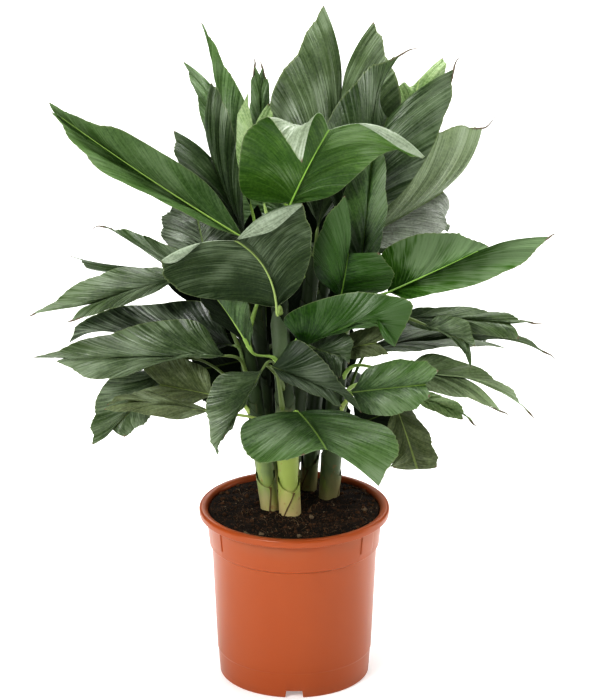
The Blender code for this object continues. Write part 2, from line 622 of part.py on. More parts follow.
def main():
    clear_scene()
    plant = collection("metallic_palm")
    helpers = collection("cutters", hidden=True)
    looks = [material(f"frond_{i}", colour, 0.38) for i, colour in enumerate(FROND_COLOURS)]
    make_pot(plant, helpers, material("pot", POT_COLOUR, 0.42))
    cane_look = material("cane", CANE_COLOUR, 0.55)
    canes = {name: Cane(*row) for name, row in CANES.items()}
    holes = []
    for name, cane in canes.items():
        object_of(f"cane_{name}", cane.body(), plant, cane_look)
        holes.append(object_of(f"cutter_{name}", cane.hole(), helpers))
    make_soil(plant, helpers, material("soil", SOIL_COLOUR, 0.95), holes)
    for number, (name, row) in enumerate(FRONDS.items()):
        frond = Frond(canes[row[0]], *row[1:], FOLDS.get(name, NO_FOLD))
        object_of(f"frond_{name}", frond.body(), plant, looks[number % len(looks)])


main()
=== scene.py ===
import math
import random

import bmesh
import bpy
from mathutils import Matrix, Vector, noise


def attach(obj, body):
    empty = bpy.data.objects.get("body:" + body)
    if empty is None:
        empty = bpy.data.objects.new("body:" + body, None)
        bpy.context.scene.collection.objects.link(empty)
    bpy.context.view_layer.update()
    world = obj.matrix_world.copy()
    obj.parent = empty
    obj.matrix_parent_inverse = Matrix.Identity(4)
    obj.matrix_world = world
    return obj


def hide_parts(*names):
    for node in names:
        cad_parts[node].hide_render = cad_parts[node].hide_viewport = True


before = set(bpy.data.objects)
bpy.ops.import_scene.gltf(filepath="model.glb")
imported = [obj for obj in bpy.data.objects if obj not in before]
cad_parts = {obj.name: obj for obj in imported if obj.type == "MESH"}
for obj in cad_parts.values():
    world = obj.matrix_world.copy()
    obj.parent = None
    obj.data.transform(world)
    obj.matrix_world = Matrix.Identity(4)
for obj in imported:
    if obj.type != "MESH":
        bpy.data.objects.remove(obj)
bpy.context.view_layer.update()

# Studio. A pale floor that glows a little and fills the view, a dim white sky, a softbox to the front left, a
# smaller one to the right, a large one overhead, a tall strip at each side and one over the floor behind. The
# camera stands 4 m off with a long lens.
CAMERA_PLACE = (0.0057, -4.0, 1.80663)
CAMERA_PITCH = 0.351
CAMERA_LENS = 222.4
CAMERA_REACH = 60
FLOOR_SIDE = 16.0
FLOOR_COLOUR = (0.84, 0.84, 0.84)
FLOOR_ROUGHNESS = 0.9
FLOOR_GLOW = 0.25
SKY_STRENGTH = 0.10
SOFTBOXES = {  # place, what it points at, width, height and power
    "key": ((-1.7, -2.5, 2.3), (0, 0, 0.35), 1.1, 1.1, 68),
    "fill": ((2.2, -1.6, 1.5), (0, 0, 0.35), 0.9, 0.9, 13),
    "overhead": ((0.1, 0.5, 2.6), (0, 0, 0.30), 1.6, 1.6, 67),
    "strip": ((-1.45, -1.05, 0.6), (0, 0, 0.20), 0.28, 1.2, 4.5),
    "rim": ((1.5, 0.4, 0.6), (0, 0, 0.25), 0.35, 1.2, 6),
    "backdrop": ((0, 3.2, 1.9), (0, 3.0, 0), 3.0, 1.6, 55),
}

camera_data = bpy.data.cameras.new("camera")
camera_data.lens = CAMERA_LENS
camera_data.clip_end = CAMERA_REACH
camera = bpy.data.objects.new("camera", camera_data)
camera.location = CAMERA_PLACE
camera.rotation_euler = (math.pi / 2 - CAMERA_PITCH, 0, 0)
bpy.context.scene.collection.objects.link(camera)
bpy.context.scene.camera = camera
view = bpy.context.scene.view_settings
view.view_transform = "Standard"
view.look = "High Contrast"

for name, (place, target, width, height, power) in SOFTBOXES.items():
    lamp = bpy.data.lights.new(name, "AREA")
    lamp.shape = "RECTANGLE"
    lamp.size = width
    lamp.size_y = height
    lamp.energy = power
    softbox = bpy.data.objects.new(name, lamp)
    softbox.location = place
    softbox.rotation_euler = (Vector(target) - Vector(place)).to_track_quat("-Z", "Y").to_euler()
    bpy.context.scene.collection.objects.link(softbox)

world = bpy.data.worlds.new("white sky")
world.use_nodes = True
sky = world.node_tree.nodes["Background"]
sky.inputs["Color"].default_value = (1, 1, 1, 1)
sky.inputs["Strength"].default_value = SKY_STRENGTH
bpy.context.scene.world = world

half = FLOOR_SIDE / 2
corners = [(-half, -half, 0), (half, -half, 0), (half, half, 0), (-half, half, 0)]
floor_mesh = bpy.data.meshes.new("floor")
floor_mesh.from_pydata(corners, [], [(0, 1, 2, 3)])
floor = bpy.data.objects.new("floor", floor_mesh)
bpy.context.scene.collection.objects.link(floor)
floor_finish = bpy.data.materials.new("floor paper")
floor_finish.use_nodes = True
floor_shader = floor_finish.node_tree.nodes["Principled BSDF"]
floor_shader.inputs["Base Color"].default_value = (*FLOOR_COLOUR, 1)
floor_shader.inputs["Roughness"].default_value = FLOOR_ROUGHNESS
floor_shader.inputs["Emission Color"].default_value = (1, 1, 1, 1)
floor_shader.inputs["Emission Strength"].default_value = FLOOR_GLOW
floor_mesh.materials.append(floor_finish)


# Pot. A round nursery pot, injection moulded from terracotta-coloured plastic in one piece: a rolled rim, a
# neck with three stacking pads under the rim, a step, a tapering wall, a foot band and a ring channel with
# drain holes underneath. It stands by itself on its foot ring, which has four notches for water to leave by.
MM = 0.001
POT_STEPS = 144
POT_HEIGHT = 178 * MM
RIM_RADIUS = 95 * MM
LIP_HEIGHT = 8.5 * MM
NECK_TOP_RADIUS = 87.5 * MM
NECK_FOOT_RADIUS = 85 * MM
STEP_HEIGHT = 138 * MM
WALL_TOP_RADIUS = 82.6 * MM
BAND_HEIGHT = 27 * MM
BAND_RADIUS = 76.6 * MM
FOOT_RADIUS = 75 * MM
WALL = 1.8 * MM
CHANNEL_HEIGHT = 9.5 * MM
CHANNEL_INNER = 34 * MM
CHANNEL_OUTER = 68 * MM
NOTCH_WIDTH = 20 * MM
NOTCH_HEIGHT = 8 * MM
NOTCH_TAPER = 0.8
NOTCHES = 4
DRAIN_HOLES = 6
DRAIN_RADIUS = 4.5 * MM
PAD_ANGLES = (57, 177, 297)
PAD_WIDTH = 21 * MM
PAD_DEPTH = 1.1 * MM
PAD_FOOT = STEP_HEIGHT + 9 * MM
PAD_SINK = 1 * MM  # how far a pad's back lies inside the neck
PAD_SPREAD = 0.4 * MM  # how much deeper a pad is at its foot
PAD_COLUMNS = 9
DRAIN_SIDES = 32
EDGE_ROUND = 0.35 * MM
EDGE_ANGLE = 40  # degrees past which an edge is rounded
POT_SHARP = 35  # and past which it stays sharp
POT_CLAY = (0.325, 0.074, 0.018)
POT_CLAY_PALE = (0.362, 0.094, 0.028)
POT_DUST = (0.26, 0.12, 0.07)


class Value:
    """A socket of a node tree, so that sums on it can be written in Python."""

    def __init__(self, tree, socket):
        self.tree = tree
        self.socket = socket

    def __add__(self, other):
        return self.tree.sum("ADD", self, other)

    def __radd__(self, other):
        return self.tree.sum("ADD", other, self)

    def __sub__(self, other):
        return self.tree.sum("SUBTRACT", self, other)

    def __rsub__(self, other):
        return self.tree.sum("SUBTRACT", other, self)

    def __mul__(self, other):
        return self.tree.sum("MULTIPLY", self, other)

    def __rmul__(self, other):
        return self.tree.sum("MULTIPLY", other, self)

    def __truediv__(self, other):
        return self.tree.sum("DIVIDE", self, other)

    def __rtruediv__(self, other):
        return self.tree.sum("DIVIDE", other, self)

    def __pow__(self, other):
        return self.tree.sum("POWER", self, other)

    def __rpow__(self, other):
        return self.tree.sum("POWER", other, self)


class Tree:
    """A node tree, and one method that adds any node to it: its settings first, then its sockets."""

    def __init__(self, tree):
        self.tree = tree

    def node(self, kind, settings=None, sockets=None, out=0):
        made = self.tree.nodes.new(kind)
        for name, value in (settings or {}).items():
            setattr(made, name, value)
        for name, value in (sockets or {}).items():
            self.feed(made.inputs[name], value)
        return Value(self, made.outputs[out])

    def feed(self, socket, value):
        if isinstance(value, Value):
            self.tree.links.new(value.socket, socket)
        else:
            socket.default_value = value

    def sum(self, operation, first, second):
        return self.node("ShaderNodeMath", {"operation": operation}, {0: first, 1: second})

    def parts(self, vector):
        """The three numbers of a vector."""
        split = self.node("ShaderNodeSeparateXYZ", None, {0: vector}).socket.node
        return [Value(self, socket) for socket in split.outputs]

    def vector(self, x, y, z):
        return self.node("ShaderNodeCombineXYZ", None, {0: x, 1: y, 2: z})

    def place(self):
        """Where a point of the surface is on its object."""
        return self.node("ShaderNodeTexCoord", None, None, out=3)

    def attribute(self, name, out):
        return self.node("ShaderNodeAttribute", {"attribute_name": name}, None, out)

    def smooth(self, value, low, high):
        """0 below low, 1 above high, and a smooth rise between; turned round where high is the lower."""
        sockets = {"Value": value, "From Min": low, "From Max": high}
        return self.node("ShaderNodeMapRange", {"interpolation_type": "SMOOTHSTEP"}, sockets)

    def noise(self, vector, scale, detail=2.0):
        return self.node("ShaderNodeTexNoise", None, {"Vector": vector, "Scale": scale, "Detail": detail})

    def mix(self, share, low, high):
        """A colour between two."""
        low, high = [colour if isinstance(colour, Value) else (*colour, 1) for colour in (low, high)]
        return self.node("ShaderNodeMix", {"data_type": "RGBA"}, {0: share, 6: low, 7: high}, out=2)


def new_finish(name, all_over):
    """A new material, its tree and its Principled shader, with the sockets set that are the same all over."""
    material = bpy.data.materials.new(name)
    material.use_nodes = True
    shader = material.node_tree.nodes["Principled BSDF"]
    for socket, value in all_over.items():
        shader.inputs[socket].default_value = value
    return material, Tree(material.node_tree), shader


def bump(tree, shader, height, distance, strength=1.0):
    sockets = {"Strength": strength, "Distance": distance, "Height": height}
    tree.feed(shader.inputs["Normal"], tree.node("ShaderNodeBump", None, sockets))


def pot_finish():
    """Semi-gloss plastic with faint flow marks up the wall, a fine grain, and dust at rim and foot."""
    material, tree, shader = new_finish("terracotta plastic", {"Specular IOR Level": 0.32})
    place = tree.place()
    x, y, z = tree.parts(place)
    flow = tree.noise(tree.vector(x, y, z * 0.12), 26, 3)
    cloud = tree.noise(place, 14, 4)
    grain = tree.noise(place, 900, 2)
    clay = tree.mix(flow * 0.5 + cloud * 0.4, POT_CLAY, POT_CLAY_PALE)
    radius = (x * x + y * y) ** 0.5
    inside = tree.smooth(radius, RIM_RADIUS - 3 * MM, NECK_TOP_RADIUS) * tree.smooth(z, 150 * MM, 168 * MM)
    low = tree.smooth(z, 14 * MM, 1 * MM)
    dust = tree.smooth(cloud, 0.40, 0.75) * (0.02 + inside * 0.55 + low * 0.4)
    tree.feed(shader.inputs["Base Color"], tree.mix(dust, clay, POT_DUST))
    tree.feed(shader.inputs["Roughness"], 0.24 + flow * 0.12 + dust * 0.4)
    bump(tree, shader, grain * 0.3 + flow * 0.6, 0.10 * MM, 0.4)
    return material


def new_object(name, mesh):
    made = bpy.data.objects.new(name, mesh)
    bpy.context.scene.collection.objects.link(made)
    return made


def mesh_of(name, bm, sharp=None):
    """The finished bmesh as a mesh: smooth, but for edges that turn more than sharp."""
    mesh = bpy.data.meshes.new(name)
    bm.to_mesh(mesh)
    bm.free()
    mesh.shade_smooth()
    if sharp:
        mesh.set_sharp_from_angle(angle=math.radians(sharp))
    return mesh


def applied(obj):
    """The object's evaluated mesh, with the object and its own mesh removed."""
    graph = bpy.context.evaluated_depsgraph_get()
    mesh = bpy.data.meshes.new_from_object(obj.evaluated_get(graph))
    source = obj.data
    bpy.data.objects.remove(obj)
    bpy.data.meshes.remove(source)
    return mesh


def turned(profile, steps):
    """A bmesh turned about Z from a profile of (radius, height) that starts and ends on the axis."""
    bm = bmesh.new()
    line = [bm.verts.new((radius, 0, height)) for radius, height in profile]
    edges = [bm.edges.new(pair) for pair in zip(line, line[1:])]
    bmesh.ops.spin(
        bm, geom=line + edges, cent=(0, 0, 0), axis=(0, 0, 1), angle=math.tau, steps=steps, use_merge=True
    )
    bmesh.ops.remove_doubles(bm, verts=bm.verts, dist=0.00001)
    bmesh.ops.recalc_face_normals(bm, faces=bm.faces)
    return bm


def pot_inside(inset=0.0):
    """The pot's inside from its floor's middle to the neck's foot, moved in by inset."""
    ledge = CHANNEL_HEIGHT + WALL
    return [
        (0, WALL + inset),
        (CHANNEL_INNER - 6 * MM - inset, WALL + inset),
        (CHANNEL_INNER - inset, ledge + inset),
        (FOOT_RADIUS - WALL - 1.5 * MM - inset, ledge + inset),
        (BAND_RADIUS - WALL - inset, BAND_HEIGHT),
        (WALL_TOP_RADIUS - WALL - inset, STEP_HEIGHT + inset),
        (NECK_FOOT_RADIUS - WALL - inset, STEP_HEIGHT + 3 * MM + inset),
    ]


def arc(middle, radius, start, end, count):
    """Points of (radius, height) on an arc, its angles in degrees."""
    turns = [math.radians(start + (end - start) * i / count) for i in range(count + 1)]
    return [(middle[0] + radius * math.cos(a), middle[1] + radius * math.sin(a)) for a in turns]


lip_foot = POT_HEIGHT - LIP_HEIGHT
roundings = (  # middle of the arc, its radius, the angles where it starts and ends, and its steps
    ((NECK_TOP_RADIUS + 3.2 * MM, POT_HEIGHT - 5 * MM), 5 * MM, 165, 90, 6),  # from the inside over the rim
    ((RIM_RADIUS - 3.2 * MM, POT_HEIGHT - 3.4 * MM), 3.2 * MM, 80, 0, 7),  # round the rim
    ((RIM_RADIUS - 1.3 * MM, lip_foot + 1 * MM), 1 * MM, 0, -90, 4),  # under the rim
    ((NECK_TOP_RADIUS + 1.2 * MM, lip_foot + 0.6 * MM), 0.8 * MM, 270, 180, 4),  # into the neck
    ((NECK_FOOT_RADIUS - 1 * MM, STEP_HEIGHT + 2 * MM), 1 * MM, 0, -80, 4),  # over the step
    ((WALL_TOP_RADIUS + 0.6 * MM, STEP_HEIGHT - 0.6 * MM), 0.7 * MM, 100, 180, 3),  # into the wall
)
pot_profile = pot_inside() + [(NECK_TOP_RADIUS - WALL, POT_HEIGHT - 6 * MM)]
for rounding in roundings:
    pot_profile += arc(*rounding)
pot_profile += [(BAND_RADIUS + 0.55 * MM, BAND_HEIGHT + 1 * MM)]
pot_profile += [(BAND_RADIUS + 0.5 * MM, BAND_HEIGHT + 0.2 * MM)]
pot_profile += [(BAND_RADIUS, BAND_HEIGHT - 0.5 * MM), (BAND_RADIUS - 0.15 * MM, BAND_HEIGHT - 1.4 * MM)]
pot_profile += arc((FOOT_RADIUS - 2.4 * MM, 2.4 * MM), 2.4 * MM, 0, -90, 6)
pot_profile += [(CHANNEL_OUTER, 0), (CHANNEL_OUTER - 2 * MM, CHANNEL_HEIGHT)]
pot_profile += [(CHANNEL_INNER + 2 * MM, CHANNEL_HEIGHT), (CHANNEL_INNER - 4 * MM, 0), (0, 0)]


def pot_cutter():
    """Blocks for the foot's notches and rods for the drain holes."""
    bm = bmesh.new()
    size = Vector((FOOT_RADIUS - CHANNEL_OUTER + 10 * MM, NOTCH_WIDTH, 2 * NOTCH_HEIGHT))
    out = Matrix.Translation(((CHANNEL_OUTER + FOOT_RADIUS) / 2, 0, 0))
    for i in range(NOTCHES):
        made = bmesh.ops.create_cube(bm, size=1)
        for vert in made["verts"]:
            vert.co *= size
            if vert.co.z > 0:
                vert.co.y *= NOTCH_TAPER
        turn = Matrix.Rotation(math.tau * i / NOTCHES - math.pi / 2, 4, "Z")
        bmesh.ops.transform(bm, matrix=turn @ out, verts=made["verts"])
    ring = (CHANNEL_INNER + CHANNEL_OUTER) / 2
    for i in range(DRAIN_HOLES):
        turn = math.tau * (i + 0.5) / DRAIN_HOLES
        made = bmesh.ops.create_cone(
            bm,
            cap_ends=True,
            segments=DRAIN_SIDES,
            radius1=DRAIN_RADIUS,
            radius2=DRAIN_RADIUS,
            depth=10 * MM,
        )
        middle = Vector((ring * math.cos(turn), ring * math.sin(turn), CHANNEL_HEIGHT + WALL / 2))
        bmesh.ops.translate(bm, verts=made["verts"], vec=middle)
    return new_object("pot cutter", mesh_of("pot cutter", bm))


def pot_pads():
    """The stacking pads, low blocks on the neck that follow its curve and taper."""
    bm = bmesh.new()
    for middle in PAD_ANGLES:
        rings = []
        for height, radius in ((PAD_FOOT, NECK_FOOT_RADIUS), (lip_foot + 1 * MM, NECK_TOP_RADIUS)):
            for depth in (-PAD_SINK, PAD_DEPTH if height > PAD_FOOT else PAD_DEPTH + PAD_SPREAD):
                row = []
                for i in range(PAD_COLUMNS):
                    turn = math.radians(middle - 90) + PAD_WIDTH / radius * (i / (PAD_COLUMNS - 1) - 0.5)
                    reach = radius + depth
                    row.append(bm.verts.new((reach * math.cos(turn), reach * math.sin(turn), height)))
                rings.append(row)
        foot_in, foot_out, top_in, top_out = rings
        for a, b in ((foot_in, foot_out), (foot_out, top_out), (top_out, top_in), (top_in, foot_in)):
            for i in range(PAD_COLUMNS - 1):
                bm.faces.new((a[i], a[i + 1], b[i + 1], b[i]))
        for end in (0, -1):
            bm.faces.new([row[end] for row in (foot_in, foot_out, top_out, top_in)])
    bmesh.ops.recalc_face_normals(bm, faces=bm.faces)
    return new_object("pot pads", mesh_of("pot pads", bm))


pot_shell = new_object("pot shell", mesh_of("pot shell", turned(pot_profile, POT_STEPS)))
helpers = [pot_pads(), pot_cutter()]
for helper, operation in zip(helpers, ("UNION", "DIFFERENCE")):
    boolean = pot_shell.modifiers.new(helper.name, "BOOLEAN")
    boolean.operation = operation
    boolean.solver = "EXACT"
    boolean.object = helper
edge = pot_shell.modifiers.new("soft edges", "BEVEL")
edge.width = EDGE_ROUND
edge.segments = 2
edge.limit_method = "ANGLE"
edge.angle_limit = math.radians(EDGE_ANGLE)
pot_mesh = applied(pot_shell)
for helper in helpers:
    bpy.data.objects.remove(helper)
pot_mesh.shade_smooth()
pot_mesh.set_sharp_from_angle(angle=math.radians(POT_SHARP))
pot_mesh.materials.clear()
pot_mesh.materials.append(pot_finish())
pot = new_object("nursery_pot", pot_mesh)
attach(pot, "root")
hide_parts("pot")


# Soil. Dark peat that fills the pot to just under its rim, pressed in by hand, loose and crumbly on top, with
# small crumbs and clods, curled root fibres and a few pale grains. It has sunk a little along the wall.
SOIL_TOP = 175 * MM
SOIL_GAP = 0.4 * MM
SOIL_RADIUS = NECK_TOP_RADIUS - WALL - SOIL_GAP - 0.3 * MM
SOIL_STEPS = 160
SOIL_RINGS = 56
SOIL_SINK = 1.5 * MM  # at the wall
SOIL_LEVEL = 0.86  # of its radius, out to where it doesn't sink
SOIL_WAVES = ((26 * MM, 2.4 * MM), (9 * MM, 1.5 * MM), (3.6 * MM, 0.7 * MM))  # size and height of its lumps
CRUMBS = {  # how many to a square metre, smallest and largest radius, faces by subdivision
    "crumb": (150000, 0.30 * MM, 1.10 * MM, 1),
    "clod": (12000, 1.1 * MM, 2.6 * MM, 2),
}
FIBRES = (26000, 1.8 * MM, 5.5 * MM, 0.11 * MM)  # to a square metre, smallest and largest bend, half thick
PEAT_DARK = (0.010, 0.006, 0.004)
PEAT_BROWN = (0.085, 0.044, 0.022)
PEAT_PALE = (0.16, 0.12, 0.08)
FIBRE_BROWN = (0.075, 0.045, 0.024)
FIBRE_PALE = (0.24, 0.17, 0.09)


def soil_height(x, y):
    """Height of the soil's top over the floor, lumpy and sunk at the wall."""
    rise = sum(high * noise.noise(Vector((x / size, y / size, size * 900))) for size, high in SOIL_WAVES)
    edge = max(0.0, math.hypot(x, y) / SOIL_RADIUS - SOIL_LEVEL) / (1 - SOIL_LEVEL)
    return SOIL_TOP + rise * (1 - 0.6 * edge) - SOIL_SINK * edge**2


def turns_of(count):
    """The angles of evenly spread points on a ring."""
    return [math.tau * i / count for i in range(count)]


def close_rings(bm, rings, tip):
    """Faces between rings of vertices, across the lowest ring, and from the highest to a tip."""
    count = len(rings[0])
    for lower, upper in zip(rings, rings[1:]):
        for i in range(count):
            j = (i + 1) % count
            bm.faces.new((lower[i], lower[j], upper[j], upper[i]))
    bm.faces.new(reversed(rings[0]))
    for i in range(count):
        bm.faces.new((rings[-1][i], rings[-1][(i + 1) % count], tip))


def soil_mesh():
    """The body of peat: the shape of the pot's inside, with its lumpy top."""
    bm = bmesh.new()
    turns = turns_of(SOIL_STEPS)
    rings = [[(radius, height)] * SOIL_STEPS for radius, height in pot_inside(SOIL_GAP)[1:]]
    for k in range(SOIL_RINGS):
        radius = SOIL_RADIUS * (1 - k / SOIL_RINGS)
        rings.append([(radius, soil_height(radius * math.cos(a), radius * math.sin(a))) for a in turns])
    loops = []
    for ring in rings:
        loops.append([bm.verts.new((r * math.cos(a), r * math.sin(a), h)) for a, (r, h) in zip(turns, ring)])
    close_rings(bm, loops, bm.verts.new((0, 0, soil_height(0, 0))))
    return mesh_of("soil", bm)


def peat_finish():
    """Matt peat: near black in the hollows, brown on the crumbs, a pale grain here and there."""
    material, tree, shader = new_finish("peat", {"Roughness": 0.85, "Specular IOR Level": 0.25})
    place = tree.place()
    tone = tree.attribute("tone", 2)
    cloud = tree.noise(place, 70, 4)
    grain = tree.noise(place, 520, 3)
    brown = tree.mix(tree.smooth(cloud * 0.6 + grain * 0.5 + tone * 0.35, 0.50, 0.95), PEAT_DARK, PEAT_BROWN)
    tree.feed(shader.inputs["Base Color"], tree.mix(tree.smooth(tone, 0.985, 0.990), brown, PEAT_PALE))
    bump(tree, shader, grain + cloud, 0.8 * MM, 0.7)
    return material


def fibre_finish():
    """Dull root fibres, each between brown and straw."""
    material, tree, shader = new_finish("root fibre", {"Roughness": 0.7})
    tone = tree.attribute("tone", 2)
    tree.feed(shader.inputs["Base Color"], tree.mix(tone, FIBRE_BROWN, FIBRE_PALE))
    return material


def new_group(name, sizes):
    """A Geometry Nodes tree with a geometry going in and out, and a named number for each size."""
    group = bpy.data.node_groups.new(name, "GeometryNodeTree")
    group.interface.new_socket("Geometry", in_out="OUTPUT", socket_type="NodeSocketGeometry")
    group.interface.new_socket("Geometry", in_out="INPUT", socket_type="NodeSocketGeometry")
    for size, kind in sizes.items():
        group.interface.new_socket(size, in_out="INPUT", socket_type=kind)
    tree = Tree(group)
    entry = group.nodes.new("NodeGroupInput")
    inputs = {socket.name: Value(tree, socket) for socket in entry.outputs if socket.name}
    exit_node = group.nodes.new("NodeGroupOutput")
    return tree, inputs, exit_node.inputs[0]


def use_group(obj, tree, values):
    """Puts the tree on the object as a modifier, its inputs set by their identifiers."""
    modifier = obj.modifiers.new(tree.tree.name, "NODES")
    modifier.node_group = tree.tree
    for item in tree.tree.interface.items_tree:
        if item.item_type == "SOCKET" and item.in_out == "INPUT" and item.name in values:
            modifier[item.identifier] = values[item.name]
    return modifier


def scattered(tree, top, density, seed, shape, smallest, largest, finish):
    """Copies of a shape strewn over the top of the ground, turned at random, more small ones than large."""
    points = tree.node(
        "GeometryNodeDistributePointsOnFaces", None, {"Mesh": top, "Density": density, "Seed": seed}
    )
    range_of_turns = {0: (0, 0, 0), 1: (math.tau,) * 3, "Seed": seed}
    spin = tree.node("FunctionNodeRandomValue", {"data_type": "FLOAT_VECTOR"}, range_of_turns)
    size = tree.node("FunctionNodeRandomValue", {"data_type": "FLOAT"}, {2: 0.0, 3: 1.0, "Seed": seed}, out=1)
    scale = smallest + (largest - smallest) * size**3
    sockets = {"Points": points, "Instance": shape, "Rotation": spin, "Scale": scale}
    copies = tree.node("GeometryNodeInstanceOnPoints", None, sockets)
    tone = tree.node("FunctionNodeRandomValue", {"data_type": "FLOAT"}, {2: 0.0, 3: 1.0, "Seed": seed}, out=1)
    settings = {"data_type": "FLOAT", "domain": "INSTANCE"}
    toned = tree.node(
        "GeometryNodeStoreNamedAttribute", settings, {"Geometry": copies, "Name": "tone", "Value": tone}
    )
    real = tree.node("GeometryNodeRealizeInstances", None, {0: toned})
    return tree.node("GeometryNodeSetMaterial", None, {"Geometry": real, "Material": finish})


def loose_ground():
    """The tree that strews crumbs, clods and fibres on the soil's top."""
    kinds = {"Top": "NodeSocketFloat", "Seed": "NodeSocketInt"}
    kinds.update({"Peat": "NodeSocketMaterial", "Fibre": "NodeSocketMaterial"})
    tree, inputs, out = new_group("Loose ground", kinds)
    ground = inputs["Geometry"]
    z = tree.parts(tree.node("GeometryNodeInputPosition"))[2]
    facing = tree.parts(tree.node("GeometryNodeInputNormal"))[2]
    chosen = tree.sum("GREATER_THAN", z, inputs["Top"]) * tree.sum("GREATER_THAN", facing, 0.3)
    sockets = {"Geometry": ground, "Selection": chosen}
    top = tree.node("GeometryNodeSeparateGeometry", {"domain": "FACE"}, sockets)
    layers = [ground]
    for number, (density, smallest, largest, faces) in enumerate(CRUMBS.values()):
        ball = tree.node("GeometryNodeMeshIcoSphere", None, {"Radius": 1.0, "Subdivisions": faces})
        lump = tree.noise(tree.node("GeometryNodeInputPosition"), 1.3)
        sockets = {0: tree.node("GeometryNodeInputNormal"), "Scale": (lump - 0.5) * 1.6}
        push = tree.node("ShaderNodeVectorMath", {"operation": "SCALE"}, sockets)
        ball = tree.node("GeometryNodeSetPosition", None, {"Geometry": ball, "Offset": push})
        seed = inputs["Seed"] + number * 11
        layers.append(scattered(tree, top, density, seed, ball, smallest, largest, inputs["Peat"]))
    density, smallest, largest, thick = FIBRES
    bend = tree.node("GeometryNodeCurveArc", None, {"Resolution": 9, "Radius": 1.0, "Sweep Angle": 2.6})
    sockets = {"Resolution": 3, "Radius": thick / (4 * MM)}
    bar = tree.node("GeometryNodeCurvePrimitiveCircle", None, sockets)
    sockets = {"Curve": bend, "Profile Curve": bar, "Fill Caps": True}
    hair = tree.node("GeometryNodeCurveToMesh", None, sockets)
    seed = inputs["Seed"] + 40
    layers.append(scattered(tree, top, density, seed, hair, smallest, largest, inputs["Fibre"]))
    joined = tree.tree.nodes.new("GeometryNodeJoinGeometry")
    for layer in reversed(layers):
        tree.tree.links.new(layer.socket, joined.inputs[0])
    tree.tree.links.new(joined.outputs[0], out)
    return tree


peat = peat_finish()
ground = new_object("ground", soil_mesh())
ground.data.materials.append(peat)
strewn = {"Top": SOIL_TOP - 6 * MM, "Seed": 5, "Peat": peat, "Fibre": fibre_finish()}
use_group(ground, loose_ground(), strewn)
soil = new_object("peat_soil", applied(ground))
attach(soil, "root")
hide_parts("soil")


# Canes. Six reed-like stems, each wrapped in the smooth bases of old leaves. A leaf base is a thin sleeve
# that laps over itself in a slanting slit; its edge dries to brown. They stand in the soil and lean apart.
CANES = {  # foot on the soil (x, y), top (x, y, z), radius at foot and top in mm, and how yellow its foot is
    "left": ((-24, -2), (-50, 22, 352), 8.5, 6.0, 0.45),
    "front": ((-4, -14), (-15, 8, 404), 10.0, 6.5, 0.95),
    "right": ((35, 30), (50, 36, 412), 9.5, 6.5, 0.25),
    "back_right": ((14, 48), (32, 66, 432), 7.5, 6.0, 0.25),
    "back_left": ((-22, 52), (-40, 56, 404), 7.5, 6.0, 0.40),
    "middle": ((-5, 32), (20, 16, 446), 8.0, 6.0, 0.30),
}
HOLE_DEPTH = 26 * MM
SHEATH_LENGTH = 42 * MM
SHEATH_LIP = 0.9 * MM
SHEATH_THICK = 0.35 * MM
SHEATH_TURN = 400  # degrees that a sleeve goes round the cane, so that it laps over itself
SHEATH_LAP = 0.5 * MM  # how much further out it is where it ends
SHEATH_DIP = 22 * MM  # how much lower the sleeve's mouth is on the slit's side
SHEATH_TUCK = 4 * MM  # how far its foot runs down into the sleeve below
SHEATH_ROWS = 9
CANE_STEPS = 28
CANE_RINGS = 200  # 5 mm apart, and more than the tallest cane needs
CANE_TIP = 3 * MM
CANE_SEED = 3
DRY_MOUTH = (0.965, 0.070)  # where the dry edge begins up a sleeve, and how wide it is
DRY_SLIT = (0.970, 0.025)  # and the same along its slit
YELLOW_TOP = 75 * MM  # how far up the canes yellow reaches
OPEN_SLITS = {  # where the lowest slit starts round the cane, and its slant, both in radians
    "front": (3.37, 1.2),
    "left": (4.0, 0.5),
}
# Painted shade: the canes' green above the foot is their own colour, darkened for the shade of the leaves
# over it.
SHEATH_GREEN_SHADED = (0.036, 0.060, 0.018)
SHEATH_BLUE_SHADED = (0.018, 0.031, 0.012)
SHEATH_LOW = (0.210, 0.275, 0.140)
SHEATH_YELLOW = (0.330, 0.400, 0.110)
SHEATH_CREAM = (0.56, 0.46, 0.24)
SHEATH_RUST = (0.34, 0.15, 0.07)
SHEATH_DRY = (0.150, 0.105, 0.050)


class Cane:
    """A cane's axis and thickness at each height."""

    def __init__(self, base, top, foot_radius, top_radius, yellow):
        self.base = Vector((base[0] * MM, base[1] * MM, SOIL_TOP))
        self.top = Vector(top) * MM
        self.bend = self.base.lerp(self.top, 0.5) + (self.base - self.top) * 0.06
        self.bend.z = (self.base.z + self.top.z) / 2
        self.radii = (foot_radius * MM, top_radius * MM)
        self.yellow = yellow

    def axis(self, height):
        """Place and direction at a height, carried on straight below the soil's top."""
        t = (height - self.base.z) / (self.top.z - self.base.z)
        if t < 0:
            along = (self.bend - self.base).normalized()
            return self.base + along * ((height - self.base.z) / along.z), along
        place = self.base.lerp(self.bend, t).lerp(self.bend.lerp(self.top, t), t)
        return place, (self.bend.lerp(self.top, t) - self.base.lerp(self.bend, t)).normalized()

    def core(self, height):
        """The cane's own radius."""
        t = max(0.0, (height - self.base.z) / (self.top.z - self.base.z))
        return self.radii[0] + (self.radii[1] - self.radii[0]) * t

    def radius(self, height):
        """The radius over the sleeves, each of which widens towards its mouth."""
        return self.core(height) + SHEATH_LIP * ((height - self.base.z) % SHEATH_LENGTH) / SHEATH_LENGTH

    def spot(self, turn, height, radius):
        """The point at an angle about the cane, measured from +X towards +Y."""
        place, along = self.axis(height)
        side = Vector((0, 1, 0)).cross(along).normalized()
        other = along.cross(side)
        return place + (side * math.cos(turn) + other * math.sin(turn)) * radius


